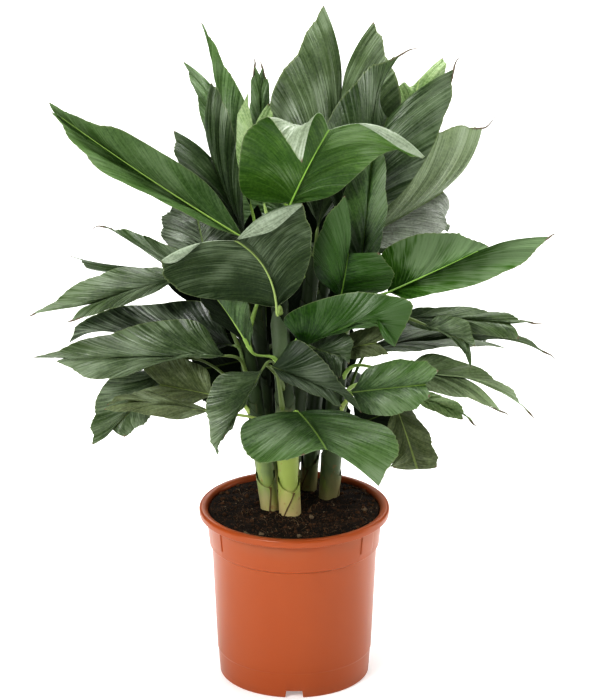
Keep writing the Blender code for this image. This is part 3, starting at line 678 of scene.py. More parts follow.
def closed_sheet(bm, outer, thick, marks, layer):
    """A thin closed shell from a grid of points: the grid, its copy moved in by thick, and the border."""
    rows = [[bm.verts.new(point) for point in row] for row in outer]
    for a, b in zip(rows, rows[1:]):
        for j in range(len(a) - 1):
            bm.faces.new((a[j], a[j + 1], b[j + 1], b[j]))
    bm.normal_update()
    inner = [[bm.verts.new(vert.co - vert.normal * thick) for vert in row] for row in rows]
    for a, b in zip(inner, inner[1:]):
        for j in range(len(a) - 1):
            bm.faces.new((b[j], b[j + 1], a[j + 1], a[j]))
    around, within = [
        grid[0][:-1] + [row[-1] for row in grid[:-1]] + grid[-1][:0:-1] + [row[0] for row in grid[:0:-1]]
        for grid in (rows, inner)
    ]
    for i, vert in enumerate(around):
        j = (i + 1) % len(around)
        bm.faces.new((around[j], vert, within[i], within[j]))
    for grid in (rows, inner):
        for row, row_marks in zip(grid, marks):
            for vert, mark in zip(row, row_marks):
                vert[layer] = mark


def sleeve(bm, layer, cane, foot, mouth, start, turn, dip, flare, slant=0.0, lift=SHEATH_THICK):
    """A leaf base about a cane. Its mouth dips away from the middle of its turn, and its mark holds the place
    round the cane, the height, and how near its dry edge is."""
    points, marks = [], []
    for i in range(CANE_STEPS + 1):
        share = i / CANE_STEPS
        angle = start + turn * share
        low = dip * (1 - math.cos(math.tau * (share - 0.5))) / 2
        row, row_marks = [], []
        for j in range(SHEATH_ROWS + 1):
            t = j / SHEATH_ROWS
            height = foot + (mouth - low - foot) * t
            lap = SHEATH_LAP * share if turn > math.tau else 0.0
            radius = cane.core(height) + lift + flare * t**1.5 + lap
            row.append(cane.spot(angle + slant * t, height, radius))
            border = max((t - DRY_MOUTH[0]) / DRY_MOUTH[1], (share - DRY_SLIT[0]) / DRY_SLIT[1], 0)
            row_marks.append(Vector((angle * cane.radii[0], height, border)))
        points.append(row)
        marks.append(row_marks)
    closed_sheet(bm, points, SHEATH_THICK, marks, layer)


def cane_finish(name, yellow):
    """Smooth leaf bases with fine lengthwise fibres: blue-green to yellow-green, the green above the foot
    darkened as painted shade of the leaves over it, cream at the foot, rusty in spots, and brown along the
    dried edges."""
    material, tree, shader = new_finish(name, {"Specular IOR Level": 0.30})
    place = tree.place()
    x, y, z = tree.parts(place)
    skin = tree.attribute("skin", 1)
    round_cane, height, border = tree.parts(skin)
    fibre = tree.noise(tree.vector(round_cane * 1800, height * 40, 0), 1.0, 2)
    cloud = tree.noise(tree.vector(x, y, z * 0.45), 75, 3)
    reach = YELLOW_TOP * (0.8 + yellow)
    foot = tree.smooth(z, SOIL_TOP + reach, SOIL_TOP + reach * 0.4)
    # The green above the foot is partly painted shade.
    green = tree.mix(foot * min(1.0, yellow * 2.2), tree.mix(cloud, SHEATH_BLUE_SHADED, SHEATH_GREEN_SHADED), SHEATH_LOW)
    lit = tree.smooth(cloud * 1.1 + fibre * 0.4 + foot * yellow - 0.75, 0.25, 0.80)
    green = tree.mix(lit, green, SHEATH_YELLOW)
    low = tree.smooth(z + cloud * 0.04, SOIL_TOP + 52 * MM, SOIL_TOP + 24 * MM)
    green = tree.mix(low * (0.35 + yellow * 0.6), green, SHEATH_CREAM)
    rust = tree.smooth(tree.noise(place, 130, 3), 0.62, 0.72) * foot * 0.45
    green = tree.mix(rust, green, SHEATH_RUST)
    dry = tree.smooth(border + (fibre - 0.5) * 0.9 + (cloud - 0.5) * 0.8, 0.35, 0.7) * (0.15 + foot * 0.85)
    tree.feed(shader.inputs["Base Color"], tree.mix(dry, green, SHEATH_DRY))
    tree.feed(shader.inputs["Roughness"], 0.36 + fibre * 0.15 + dry * 0.3)
    bump(tree, shader, fibre, 0.12 * MM, 0.6)
    return material


canes = {name: Cane(*row) for name, row in CANES.items()}
cane_finishes = {name: cane_finish(f"sheath {name}", cane.yellow) for name, cane in canes.items()}
draw = random.Random(CANE_SEED)
turns = turns_of(CANE_STEPS)
for name, cane in canes.items():
    bm = bmesh.new()
    skin = bm.verts.layers.float_vector.new("skin")
    rings = []
    heights = [cane.base.z - HOLE_DEPTH + i * 5 * MM for i in range(CANE_RINGS)]
    for height in [h for h in heights if h < cane.top.z - 2 * MM] + [cane.top.z]:
        rings.append([bm.verts.new(cane.spot(turn, height, cane.core(height))) for turn in turns])
        for turn, vert in zip(turns, rings[-1]):
            vert[skin] = Vector((turn * cane.radii[0], height, 0))
    end, along = cane.axis(cane.top.z)
    close_rings(bm, rings, bm.verts.new(end + along * CANE_TIP))
    foot = cane.base.z
    while foot < cane.top.z - 8 * MM:
        mouth = min(foot + SHEATH_LENGTH + 3 * MM, cane.top.z + 1 * MM)
        start, slant, turn = draw.uniform(0, math.tau), draw.uniform(0.3, 1.2), math.radians(SHEATH_TURN)
        if name in OPEN_SLITS and foot == cane.base.z:
            start, slant = OPEN_SLITS[name]
        sleeve(bm, skin, cane, foot - SHEATH_TUCK, mouth, start, turn, SHEATH_DIP, SHEATH_LIP, slant)
        foot += SHEATH_LENGTH
    cane_mesh = mesh_of(f"cane_{name}", bm, 50)
    cane_mesh.materials.append(cane_finishes[name])
    piece = new_object(f"sheathed_cane_{name}", cane_mesh)
    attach(piece, "root")
    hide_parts(f"cane_{name}")


# Fronds. Each is a fishtail blade on a petiole: two pleated halves that part at the end of the midrib, with
# toothed outer edges and a dry thread at some tips. The blade is thin, tough and waxy, its upper side a dark
# metallic green and its underside mostly paler. The petiole runs on as the pale midrib, and clasps its cane.
BLADE_THICK = 0.5 * MM
RIB_HALF = 1.0 * MM
PLEAT = 1.4 * MM
FINE_RIB = 0.24 * MM
FINE_RIBS = 2  # to a pleat
TOOTH = 2.4 * MM
SMALL_TOOTH = 1.8 * MM
ARCH = 0.04  # of the blade's length
BELLY = 0.07  # of a vein's length
SWELL = 0.06  # of a vein's length
RUFFLE = 0.030  # of a vein's length, at the edge
PETIOLE_RADIUS = 1.6 * MM
PETIOLE_POINTS = 14
MIDRIB_POINTS = 18
STEM_SIDES = 10
SPREAD = 0.35  # how far out a petiole leans where it leaves its cane, for each step up
HANDLE = 0.38  # of a petiole's reach, the handles of its curve
STEPS_A_PLEAT = 12
SAW_TEETH = 3  # to a pleat
COLUMNS = 14  # across each half of a blade
FIRST = 0.012  # of the blade, where its first vein stands
FOOT_LAG = 2.20  # how much slower the veins move on along the midrib than along the edge,
TIP_LEAD = 0.74  # so that they lean forward
SMOOTH_FOOT = 0.25  # of the veins from the root, whose edge has no teeth
CURL_ROWS = 7
CURL_TURN = 165  # degrees that a rolled margin turns
CURL_END = 1.04  # of the way along a lobe, where a roll runs out
CURL_MARK = 0.12  # added to the vein number for each row of a rolled margin
TIP_REACH = 5 * MM  # how far the dry colour of a tip reaches in
THREAD_POINTS = 18
THREAD_BACK = 13 * MM  # how far a thread runs back along the tip of its lobe
THREAD_HALF = 0.95 * MM
CLASP = 30 * MM  # how far the petiole's base runs down the cane
CLASP_RISE = 2.5 * MM  # and how far up from where the petiole leaves
CLASP_DIP = 15 * MM
CLASP_FLARE = 1.5 * MM
CLASP_TURN = 230  # degrees that it goes round the cane
YOUNG_CLASPS = {"front_left": 62 * MM}  # fronds whose base is still pale and stands off, and its length
YOUNG_LIFT = 1.5 * MM
YOUNG_TURN = 125
YOUNG_ASIDE = 0.45  # how far round the cane it stands from its petiole, in radians
NO_FOLD = ((0, 0, 0), (0, 0, 0))
RIB_PLACE, CLASP_PLACE, THREAD_PLACE, YOUNG_PLACE = 2, 3, 4, 5  # of a frond's finishes, after its two sides
RIGHT_FINISH = 6  # added to the place of a finish on the right half of a blade
FROND_SHARP = 55  # degrees
HALF_MARK = 20  # added to the vein numbers of the right half, so that the two halves differ in pattern


def through(points, t):
    """The point at t, from 0 to 1, on a smooth curve through the points."""
    spans = len(points) - 1
    i = min(int(t * spans), spans - 1)
    s = t * spans - i
    a, b = points[i], points[i + 1]
    before = points[i - 1] if i else a * 2 - b
    after = points[i + 2] if i + 2 <= spans else b * 2 - a
    slope_a = (b - before) / 2
    slope_b = (after - a) / 2
    rise = b - a
    return a + slope_a * s + (rise * 3 - slope_a * 2 - slope_b) * s**2 + (slope_a + slope_b - rise * 2) * s**3


def zigzag(x):
    """A wave of straight runs, -1 at each even number and 1 at each odd one."""
    return 1 - 2 * abs((x % 2) - 1)


class Frond:
    """The form of one frond, from its root, the end of its midrib and the outline of its two lobes. Folds
    pull its last veins aside, curls roll its margins over, bow bends its midrib and stout thickens it."""

    def __init__(self, cane, height, veins, root, end, left, right, folds, curls, bow, stout):
        self.cane = canes[cane]
        self.height = height * MM
        self.veins = veins
        self.root = Vector(root) * MM
        self.end = Vector(end) * MM
        self.edges = [[self.root] + [Vector(point) * MM for point in edge] for edge in (left, right)]
        self.folds = [Vector(fold) * MM for fold in folds]
        self.curls = curls
        self.bow = Vector(bow) * MM
        self.stout = stout
        span = self.edges[1][1] - self.edges[0][1]
        self.up = span.cross(self.end - self.root).normalized()
        self.odd = (self.root.x * 37 + self.end.z * 91) % 1 * 50  # so that its teeth and ruffles are its own

    def midrib(self, u):
        """The point at u, from 0 at the root to 1 at the end."""
        lift = self.up * (self.end - self.root).length * ARCH + self.bow
        return self.root.lerp(self.end, u) + lift * 4 * u * (1 - u)

    def vein(self, half, u):
        """Points of a vein from the midrib to the edge: arched up, swelling towards the tip, and ruffled."""
        foot = self.midrib(u**FOOT_LAG)
        tip = through(self.edges[half], u**TIP_LEAD)
        reach = tip - foot
        k = u * self.veins
        grown = min(1, max(0, (u - SMOOTH_FOOT) * 4)) * min(1, (1 - u) * self.veins)
        saw = (1 - (k * SAW_TEETH) % 1) * (0.6 + 0.9 * noise.noise(Vector((k * 1.9, half * 5, self.odd))))
        tip += reach.normalized() * grown * (TOOTH * (zigzag(k) + 1) / 2 + SMALL_TOOTH * saw)
        reach = tip - foot
        onward = self.end - self.root
        onward = (onward - reach * onward.dot(reach) / reach.length_squared).normalized()
        bulge = (self.up * BELLY + onward * SWELL) * reach.length
        bulge += self.folds[half] * max(0, 2 * u - 1) ** 1.5
        wave = noise.noise(Vector((u * 3.4, half * 7 + self.odd, 0))) * RUFFLE * reach.length
        points = []
        for j in range(COLUMNS + 1):
            s = j / COLUMNS
            points.append(foot + reach * s + bulge * 4 * s * (1 - s) + self.up * wave * s**3)
        return points

    def blade(self):
        """The blade as one sheet with its marks: vein number, share of the vein, metres from the midrib."""
        bm = bmesh.new()
        mark = bm.verts.layers.float_vector.new("vein")
        tip_mark = bm.verts.layers.float.new("tip")
        count = self.veins * STEPS_A_PLEAT
        rows = []
        for step in range(count + 1):
            u = FIRST + (1 - FIRST) * step / count
            left, right = self.vein(0, u), self.vein(1, u)
            row = []
            for half, points in ((0, left[:0:-1]), (1, right)):
                number = u * self.veins + HALF_MARK * half
                lobe = self.edges[half][-1]
                for i, point in enumerate(points):
                    vert = bm.verts.new(point)
                    share = (i if half else COLUMNS - i) / COLUMNS
                    vert[mark] = Vector((number, share, (point - right[0]).length))
                    vert[tip_mark] = max(0, 1 - (point - lobe).length / TIP_REACH)
                    row.append(vert)
            rows.append(row)
        for a, b in zip(rows, rows[1:]):
            for j in range(len(a) - 1):
                bm.faces.new((a[j], a[j + 1], b[j + 1], b[j]))
        for curl in self.curls:
            self.curl(bm, mark, rows[-1], *curl)
        return mesh_of("blade", bm)

    def curl(self, bm, mark, row, half, width, begins, peak, side):
        """Rolls the margin of one lobe over, towards the upper side or the under side of the blade."""
        edge = row[COLUMNS:] if half else row[COLUMNS::-1]
        onward = self.end - self.root
        lines = [edge]
        for step in range(1, CURL_ROWS + 1):
            turn = math.radians(CURL_TURN) * math.sin(math.pi / 2 * step / CURL_ROWS)
            line = []
            for j, vert in enumerate(edge):
                s = j / COLUMNS
                rise = (s - begins) / (peak - begins) if s < peak else (CURL_END - s) / (CURL_END - peak)
                if rise <= 0:
                    line.append(vert)
                    continue
                along = (edge[min(j + 1, COLUMNS)].co - edge[max(j - 1, 0)].co).normalized()
                ahead = (onward - along * onward.dot(along)).normalized()
                over = (self.up - along * self.up.dot(along) - ahead * self.up.dot(ahead)).normalized() * side
                hop = width * MM * math.sin(math.pi / 2 * rise) / CURL_ROWS
                new = bm.verts.new(lines[-1][j].co + (ahead * math.cos(turn) + over * math.sin(turn)) * hop)
                new[mark] = vert[mark] + Vector((step * CURL_MARK, 0, 0))
                line.append(new)
            lines.append(line)
        for a, b in zip(lines, lines[1:]):
            for j in range(COLUMNS):
                corners = [a[j], a[j + 1], b[j + 1], b[j]] if half else [a[j + 1], a[j], b[j], b[j + 1]]
                corners = list(dict.fromkeys(corners))
                if len(corners) > 2:
                    bm.faces.new(corners)

    def leaving(self):
        """Where the petiole leaves its cane: the place, the cane's direction and the direction outwards."""
        place, along = self.cane.axis(self.height)
        out = self.root - place
        out = (out - along * out.dot(along)).normalized()
        return place + out * (self.cane.radius(self.height) + 0.3 * MM), along, out

    def stem(self):
        """Rings of the petiole and of the midrib that it runs on as: place, across, up and half width."""
        start, along, out = self.leaving()
        forward = (self.midrib(0.1) - self.root).normalized()
        across = forward.cross(self.up).normalized()
        reach = (self.root - start).length
        a, b = start, start + (along + out * SPREAD).normalized() * reach * HANDLE
        c, d = self.root - forward * reach * HANDLE, self.root
        first = along.cross(out).normalized()
        if first.dot(across) < 0:
            first = -first
        rings = [(start - out * 1.5 * MM, first, first.cross(out), PETIOLE_RADIUS * 2.1)]
        for i in range(PETIOLE_POINTS):
            t = i / PETIOLE_POINTS
            spot = a * (1 - t) ** 3 + b * 3 * t * (1 - t) ** 2 + c * 3 * t**2 * (1 - t) + d * t**3
            ahead = (b - a) * (1 - t) ** 2 + (c - b) * 2 * t * (1 - t) + (d - c) * t**2
            ahead = (out * (1 - t) ** 8 + ahead.normalized()).normalized()
            side = first.lerp(across, t)
            side = (side - ahead * side.dot(ahead)).normalized()
            rings.append((spot, side, side.cross(ahead), PETIOLE_RADIUS * (2 - min(1, 2 * t))))
        for i in range(MIDRIB_POINTS + 1):
            u = i / MIDRIB_POINTS
            ahead = (self.midrib(min(1, u + 0.02)) - self.midrib(u - 0.02)).normalized()
            half = RIB_HALF * self.stout * (1.12 - u * 0.95)
            over = across.cross(ahead).normalized()
            rings.append((self.midrib(u) - over * (BLADE_THICK * 0.5 + half * 0.25), across, over, half))
        return rings


def add_tube(bm, rings, material_index, flat=0.55):
    """A closed tube through rings, flatter above than below."""
    loops = []
    for spot, side, over, half in rings:
        loop = []
        for i in range(STEM_SIDES):
            turn = math.tau * i / STEM_SIDES
            up = math.sin(turn)
            reach = side * math.cos(turn) + over * up * (flat if up > 0 else 1.0)
            loop.append(bm.verts.new(spot + reach * half))
        loops.append(loop)
    faces = []
    for a, b in zip(loops, loops[1:]):
        for i in range(STEM_SIDES):
            j = (i + 1) % STEM_SIDES
            faces.append(bm.faces.new((a[j], a[i], b[i], b[j])))
    faces += [bm.faces.new(loops[0]), bm.faces.new(reversed(loops[-1]))]
    for face in faces:
        face.material_index = material_index
        face.smooth = True


def thread_rings(frond, half, length, turn):
    """Rings of the dry thread at a lobe's tip, which leaves along the lobe's edge and then turns away."""
    edge = frond.edges[half]
    leaving = (edge[-1] - edge[-2]).normalized()
    ending = Vector((turn[0], 0, turn[1])).normalized()
    spot = edge[-1] - leaving * THREAD_BACK
    whole = length * MM + THREAD_BACK
    rings = []
    for i in range(THREAD_POINTS):
        gone = whole * i / (THREAD_POINTS - 1)
        t = max(0, gone - THREAD_BACK) / (length * MM)
        ahead = leaving.lerp(ending, min(1, 1.8 * t))
        ahead = (ahead + Vector((0, 0.12, 0.12)) * math.sin(7 * t)).normalized()
        side = ahead.cross(Vector((0, 1, 0))).normalized()
        half_width = THREAD_HALF * min(1.1 - t, 0.3 + gone / THREAD_BACK)
        rings.append((spot.copy(), side, side.cross(ahead), half_width))
        spot += ahead * whole / (THREAD_POINTS - 1)
    return rings


def pleats():
    """The tree that raises a blade's pleats and fine ribs along its veins and gives the blade its finish."""
    kinds = {"Pleat": "NodeSocketFloat", "Fine rib": "NodeSocketFloat", "Fine ribs": "NodeSocketFloat"}
    tree, inputs, out = new_group("Pleats", {**kinds, "Finish": "NodeSocketMaterial"})
    settings = {"data_type": "FLOAT_VECTOR"}
    mark = tree.node("GeometryNodeInputNamedAttribute", settings, {"Name": "vein"})
    number, share = tree.parts(mark)[:2]
    fold = 2 * tree.sum("PINGPONG", number, 1.0) - 1
    fine = 2 * tree.sum("PINGPONG", number * inputs["Fine ribs"], 0.5) - 0.5
    opening = tree.smooth(share, 0.0, 0.45)
    rise = fold * inputs["Pleat"] * opening + fine * 2 * inputs["Fine rib"] * tree.smooth(share, 0.02, 0.2)
    normal = tree.node("GeometryNodeInputNormal")
    push = tree.node("ShaderNodeVectorMath", {"operation": "SCALE"}, {0: normal, "Scale": rise})
    moved = tree.node("GeometryNodeSetPosition", None, {"Geometry": inputs["Geometry"], "Offset": push})
    real = tree.node("GeometryNodeRealizeInstances", None, {0: moved})
    final = tree.node("GeometryNodeSetMaterial", None, {"Geometry": real, "Material": inputs["Finish"]})
    tree.tree.links.new(final.socket, out)
    return tree


def leaf_finish(name, deep, pale, rib, silver, gloss, tip_age_and_base_shade, shine):
    """A waxy leaf side: deep green with paler bands and fine lines along the veins, a painted silver sheen in
    streaks, paler towards the tips partly from age and partly as painted shade that keeps the bases dark,
    painted shade towards the clump's heart, a pale line at the midrib, a thin dry margin and brown tips."""
    material, tree, shader = new_finish(name, {"Specular IOR Level": shine})
    place = tree.place()
    mark = tree.attribute("vein", 1)
    tip = tree.attribute("tip", 2)
    number, share, away = tree.parts(mark)
    band = tree.noise(tree.vector(number * 1.1, share * 1.1, 3), 1.0, 2)
    line = tree.noise(tree.vector(number * 6, share * 1.8, 5), 1.0, 3)
    hair = tree.noise(tree.vector(number * 17, share * 2.6, 7), 1.0, 2)
    cloud = tree.noise(place, 20, 3)
    speck = tree.noise(place, 420, 2)
    onward = tree.sum("MODULO", number, HALF_MARK) / 6
    # Paler towards the tips and edges: partly the leaves' age, partly painted shade that keeps the leaf bases
    # dark.
    tip_age_and_base_shade_mask = onward * share * tip_age_and_base_shade
    streak = band * 0.30 + line * 0.16 + cloud * 0.40 + hair * 0.46 + speck * 0.42 + tip_age_and_base_shade_mask * 0.3
    light = tree.smooth(streak - 0.30, 0.42, 0.84)
    green = tree.mix(light, deep, pale)
    # Painted sheen: silver streaks along the veins stand for the leaves' metallic reflection.
    painted_sheen = tree.smooth(line * 0.3 + hair * 0.3 + cloud * 0.65 + tip_age_and_base_shade_mask * 0.12, 0.64, 0.84) * silver
    green = tree.mix(painted_sheen, green, SILVER_SHEEN)
    x, y, z = tree.parts(place)
    # Painted shade: blades near the middle of the clump and below the crown are darkened, as the shade inside
    # the clump.
    heart_shade = tree.smooth((x * x + (y - HEART_BACK) ** 2) ** 0.5, HEART_REACH[1], HEART_REACH[0])
    green = tree.mix(heart_shade * tree.smooth(z, CROWN_FOOT[1], CROWN_FOOT[0]) * 0.7, green, HEART_SHADE)
    on_rib = tree.smooth(away, RIB_HALF * 1.7, RIB_HALF * 0.7)
    green = tree.mix(on_rib * 0.8, green, rib)
    margin = tree.smooth(share, 0.978, 0.995) * 0.55
    green = tree.mix(margin, green, MARGIN)
    dry = tree.smooth(tip + (line - 0.5) * 0.5, 0.45, 0.75)
    tree.feed(shader.inputs["Base Color"], tree.mix(dry, green, DRY_TIP))
    tree.feed(shader.inputs["Roughness"], gloss + (line - 0.5) * 0.22 + dry * 0.3)
    ridges = tree.sum("PINGPONG", number * 6, 0.5) * 2
    bump(tree, shader, ridges * 0.7 + hair * 1.1 + line * 0.4 + speck * 0.7, 0.30 * MM, 0.8)
    return material


def rib_finish(name, colour, base):
    """Petiole, midrib, young sheath or thread: smooth, clouded between two colours and finely grained."""
    material, tree, shader = new_finish(name, {})
    place = tree.place()
    cloud = tree.noise(place, 60, 3)
    fine = tree.noise(place, 420, 2)
    tree.feed(shader.inputs["Base Color"], tree.mix(cloud * 0.7 + fine * 0.3, colour, base))
    tree.feed(shader.inputs["Roughness"], 0.34 + fine * 0.2)
    bump(tree, shader, fine, 0.1 * MM, 0.4)
    return material


# Painted sheen: the pale silver of the streaks that stand for the leaves' metallic reflection.
SILVER_SHEEN = (0.32, 0.385, 0.275)
MARGIN = (0.16, 0.20, 0.09)
HEART_SHADE = (0.004, 0.010, 0.003)  # painted shade of the clump's heart, which darkens the blades near its middle
HEART_BACK = 30 * MM  # how far behind the pot's middle the clump's heart lies,
HEART_REACH = (42 * MM, 92 * MM)  # how far out it is darkest and where it ends,
CROWN_FOOT = (420 * MM, 500 * MM)  # and the heights between which it ends
DRY_TIP = (0.14, 0.105, 0.065)
THREAD = (0.115, 0.095, 0.065)
YOUNG_SHEATH = ((0.060, 0.098, 0.034), (0.125, 0.165, 0.095))
# Each look: upper side deep and pale, underside deep and pale, midrib, silver of the painted sheen,
# roughness, paleness towards the tips (partly age, partly painted shade at the bases), and shine. Beside the
# leaves' own colours, the looks are lit and shaded copies of one another: darker ones such as shade and dusk
# are painted shade for leaves deep in the clump, and paler ones such as mirror and silver are painted light
# for leaves that face the lamps.
LOOKS = {
    "dark": ((0.014, 0.032, 0.008), (0.060, 0.096, 0.035), (0.025, 0.047, 0.013), (0.068, 0.110, 0.037),
             (0.075, 0.115, 0.030), 0.30, 0.33, 0.6, 0.45),
    "dusk": ((0.006, 0.014, 0.004), (0.040, 0.060, 0.028), (0.008, 0.016, 0.005), (0.045, 0.065, 0.030),
             (0.075, 0.115, 0.030), 0.55, 0.30, 0.5, 0.50),
    "steel": ((0.021, 0.040, 0.012), (0.076, 0.113, 0.044), (0.031, 0.055, 0.017), (0.084, 0.124, 0.050),
              (0.090, 0.125, 0.036), 0.40, 0.34, 0.7, 0.42),
    "streaked": ((0.020, 0.032, 0.015), (0.090, 0.115, 0.070), (0.030, 0.045, 0.022), (0.110, 0.135, 0.085),
                 (0.142, 0.209, 0.055), 0.85, 0.28, 0.5, 0.60),
    "mirror": ((0.100, 0.120, 0.080), (0.240, 0.275, 0.205), (0.100, 0.120, 0.080), (0.240, 0.275, 0.205),
               (0.142, 0.209, 0.055), 0.90, 0.26, 0.5, 0.70),
    "olive": ((0.050, 0.066, 0.024), (0.140, 0.172, 0.076), (0.060, 0.076, 0.030), (0.150, 0.180, 0.085),
              (0.230, 0.290, 0.090), 0.40, 0.40, 0.5, 0.35),
    "shade": ((0.003, 0.007, 0.002), (0.010, 0.019, 0.005), (0.016, 0.034, 0.009), (0.060, 0.096, 0.035),
              (0.060, 0.090, 0.020), 0.05, 0.50, 0.3, 0.10),
    "bright": ((0.016, 0.046, 0.008), (0.085, 0.150, 0.045), (0.028, 0.068, 0.012), (0.088, 0.155, 0.045),
               (0.200, 0.300, 0.070), 0.30, 0.34, 1.0, 0.45),
    "deep": ((0.004, 0.024, 0.001), (0.026, 0.076, 0.005), (0.010, 0.040, 0.003), (0.042, 0.100, 0.012),
             (0.153, 0.270, 0.045), 0.14, 0.33, 1.9, 0.28),
    "aged": ((0.008, 0.032, 0.002), (0.036, 0.092, 0.008), (0.008, 0.032, 0.002), (0.036, 0.092, 0.008),
             (0.153, 0.270, 0.045), 0.60, 0.50, 2.4, 0.06),
    "plain": ((0.012, 0.026, 0.008), (0.040, 0.062, 0.026), (0.014, 0.028, 0.009), (0.044, 0.068, 0.028),
              (0.090, 0.125, 0.036), 0.12, 0.40, 0.5, 0.32),
    "silver": ((0.085, 0.120, 0.054), (0.225, 0.295, 0.150), (0.095, 0.135, 0.062), (0.225, 0.295, 0.150),
               (0.200, 0.290, 0.080), 0.45, 0.36, 0.8, 0.45),
    "glow": ((0.150, 0.185, 0.120), (0.300, 0.355, 0.255), (0.024, 0.074, 0.004), (0.076, 0.158, 0.019),
             (0.218, 0.371, 0.070), 0.50, 0.36, 0.3, 0.45),
    "folded": ((0.120, 0.150, 0.095), (0.305, 0.360, 0.265), (0.008, 0.023, 0.003), (0.036, 0.062, 0.016),
               (0.230, 0.300, 0.100), 0.45, 0.42, 0.4, 0.32),
    "lime": ((0.125, 0.205, 0.065), (0.350, 0.450, 0.225), (0.145, 0.230, 0.080), (0.330, 0.425, 0.210),
             (0.340, 0.450, 0.170), 0.35, 0.38, 0.4, 0.40),
}
RIGHT_HALVES = {"silver_right": "mirror", "half_hidden": "bright"}  # looks of right halves that differ: a painted reflection on silver_right, and on half_hidden a lit right half beside a left half painted as shade


def leaf_look(look):
    """The finishes of a blade's two sides and its rib. The underside is duller and less silvery."""
    deep, pale, under_deep, under_pale, rib, silver, gloss, tip_age_and_base_shade, shine = LOOKS[look]
    under = (f"{look} leaf under", under_deep, under_pale, rib, silver * 0.6, gloss + 0.08, tip_age_and_base_shade, shine)
    return [
        leaf_finish(f"{look} leaf", deep, pale, rib, silver, gloss, tip_age_and_base_shade, shine),
        leaf_finish(*under),
        rib_finish(f"{look} midrib", rib, tuple(c * 1.5 for c in rib)),
    ]


looks = {look: leaf_look(look) for look in LOOKS}
thread_finish = rib_finish("dry thread", THREAD, DRY_TIP)
young_finish = rib_finish("young sheath", *YOUNG_SHEATH)
pleat_tree = pleats()
FOLDS = {  # how far the last vein of the left and the right half is pulled aside (x, y, z), in mm
    "crest": ((0, 0, 8), (0, 4, 26)),
    "summit": ((0, 0, 0), (-3, 0, -3)),
    "left_horn": ((0, 0, 0), (7, 0, 0)),
    "dark_horn": ((-18, 0, -2), (0, 0, 0)),
    "thin_left": ((0, 0, 5), (0, 0, 12)),
}
CURLS = {  # half, width in mm, where along the lobe it begins and is widest, and 1 to roll up, -1 under
    "crest": ((0, 14, 0.30, 0.76, -1),),
    "front_left": ((0, 24, 0.0, 0.5, -1), (1, 13, 0.45, 0.85, -1)),
    "veined_right": ((0, 10, 0.2, 0.7, 1),),
}
MIDRIBS = {  # how far a midrib is bowed aside, in mm, and its thickness beside the others
    "front_left": ((9, 0, 4), 1.2),
    "half_hidden": ((2, 0, 2), 2.2),
}
THREADS = {  # half, length in mm, and the way it turns, to the side and up
    "silver_right": ((0, 25, (0.5, 0.85)),),
    "dark_horn": ((0, 26, (1.0, 0.05)), (1, 18, (0.6, 0.8))),
    "spear": ((0, 9, (-0.5, 1.0)), (1, 7, (-0.4, 1.0))),
    "thin_left": ((1, 15, (-1.0, -0.6)),),
    "fishtail_left": ((0, 6, (-0.9, -0.6)), (1, 7, (-1.0, -0.3))),
    "long_right": ((0, 7, (1.0, 0.2)),),
    "level_right": ((0, 16, (1.0, 0.0)),),
    "under_right": ((0, 16, (0.7, -0.7)),),
    "fishtail_right": ((0, 8, (0.7, -0.8)), (1, 11, (0.8, -0.6))),
    "lime_low": ((0, 6, (1.0, -0.2)),),
}


def make_frond(name, look, row):
    """The whole frond: blade, petiole with midrib, clasping base and any thread, as one piece."""
    bow, stout = MIDRIBS.get(name, ((0, 0, 0), 1.0))
    frond = Frond(*row, FOLDS.get(name, NO_FOLD), CURLS.get(name, ()), bow, stout)
    upper, under = looks[look][:2]
    right_upper, right_under, rib = looks[RIGHT_HALVES.get(name, look)]
    sheet = new_object("sheet", frond.blade())
    left_finishes = (upper, under, rib, cane_finishes[row[0]], thread_finish, young_finish)
    for finish in (*left_finishes, right_upper, right_under):
        sheet.data.materials.append(finish)
    sizes = {"Pleat": PLEAT, "Fine rib": FINE_RIB, "Fine ribs": float(FINE_RIBS), "Finish": upper}
    use_group(sheet, pleat_tree, sizes)
    solid = sheet.modifiers.new("thickness", "SOLIDIFY")
    solid.thickness = BLADE_THICK
    solid.offset = -1
    solid.material_offset = 1
    solid.material_offset_rim = 0
    mesh = applied(sheet)
    bm = bmesh.new()
    bm.from_mesh(mesh)
    vein = bm.verts.layers.float_vector["vein"]
    for face in bm.faces:
        if sum(vert[vein].x for vert in face.verts) > len(face.verts) * HALF_MARK:
            face.material_index += RIGHT_FINISH
    add_tube(bm, frond.stem(), RIB_PLACE)
    for thread in THREADS.get(name, ()):
        add_tube(bm, thread_rings(frond, *thread), THREAD_PLACE)
    start, along, out = frond.leaving()
    side = Vector((0, 1, 0)).cross(along).normalized()
    facing = math.atan2(out.dot(along.cross(side)), out.dot(side))
    skin = bm.verts.layers.float_vector.new("skin")
    before = len(bm.faces)
    young = name in YOUNG_CLASPS
    turn = math.radians(YOUNG_TURN if young else CLASP_TURN)
    facing -= YOUNG_ASIDE if young else 0
    foot = max(frond.height - YOUNG_CLASPS.get(name, CLASP), SOIL_TOP - 3 * MM)
    mouth, lift = frond.height + CLASP_RISE, YOUNG_LIFT if young else SHEATH_THICK
    sleeve(bm, skin, frond.cane, foot, mouth, facing - turn / 2, turn, CLASP_DIP, CLASP_FLARE, 0.0, lift)
    bm.faces.ensure_lookup_table()
    for face in bm.faces[before:]:
        face.material_index = YOUNG_PLACE if young else CLASP_PLACE
    bm.to_mesh(mesh)
    bm.free()
    mesh.shade_smooth()
    mesh.set_sharp_from_angle(angle=math.radians(FROND_SHARP))
    piece = new_object(f"leaf_{name}", mesh)
    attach(piece, "root")
    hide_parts(f"frond_{name}")


def make_fronds(fronds):
    for name, (look, *row) in fronds.items():
        make_frond(name, look, row)


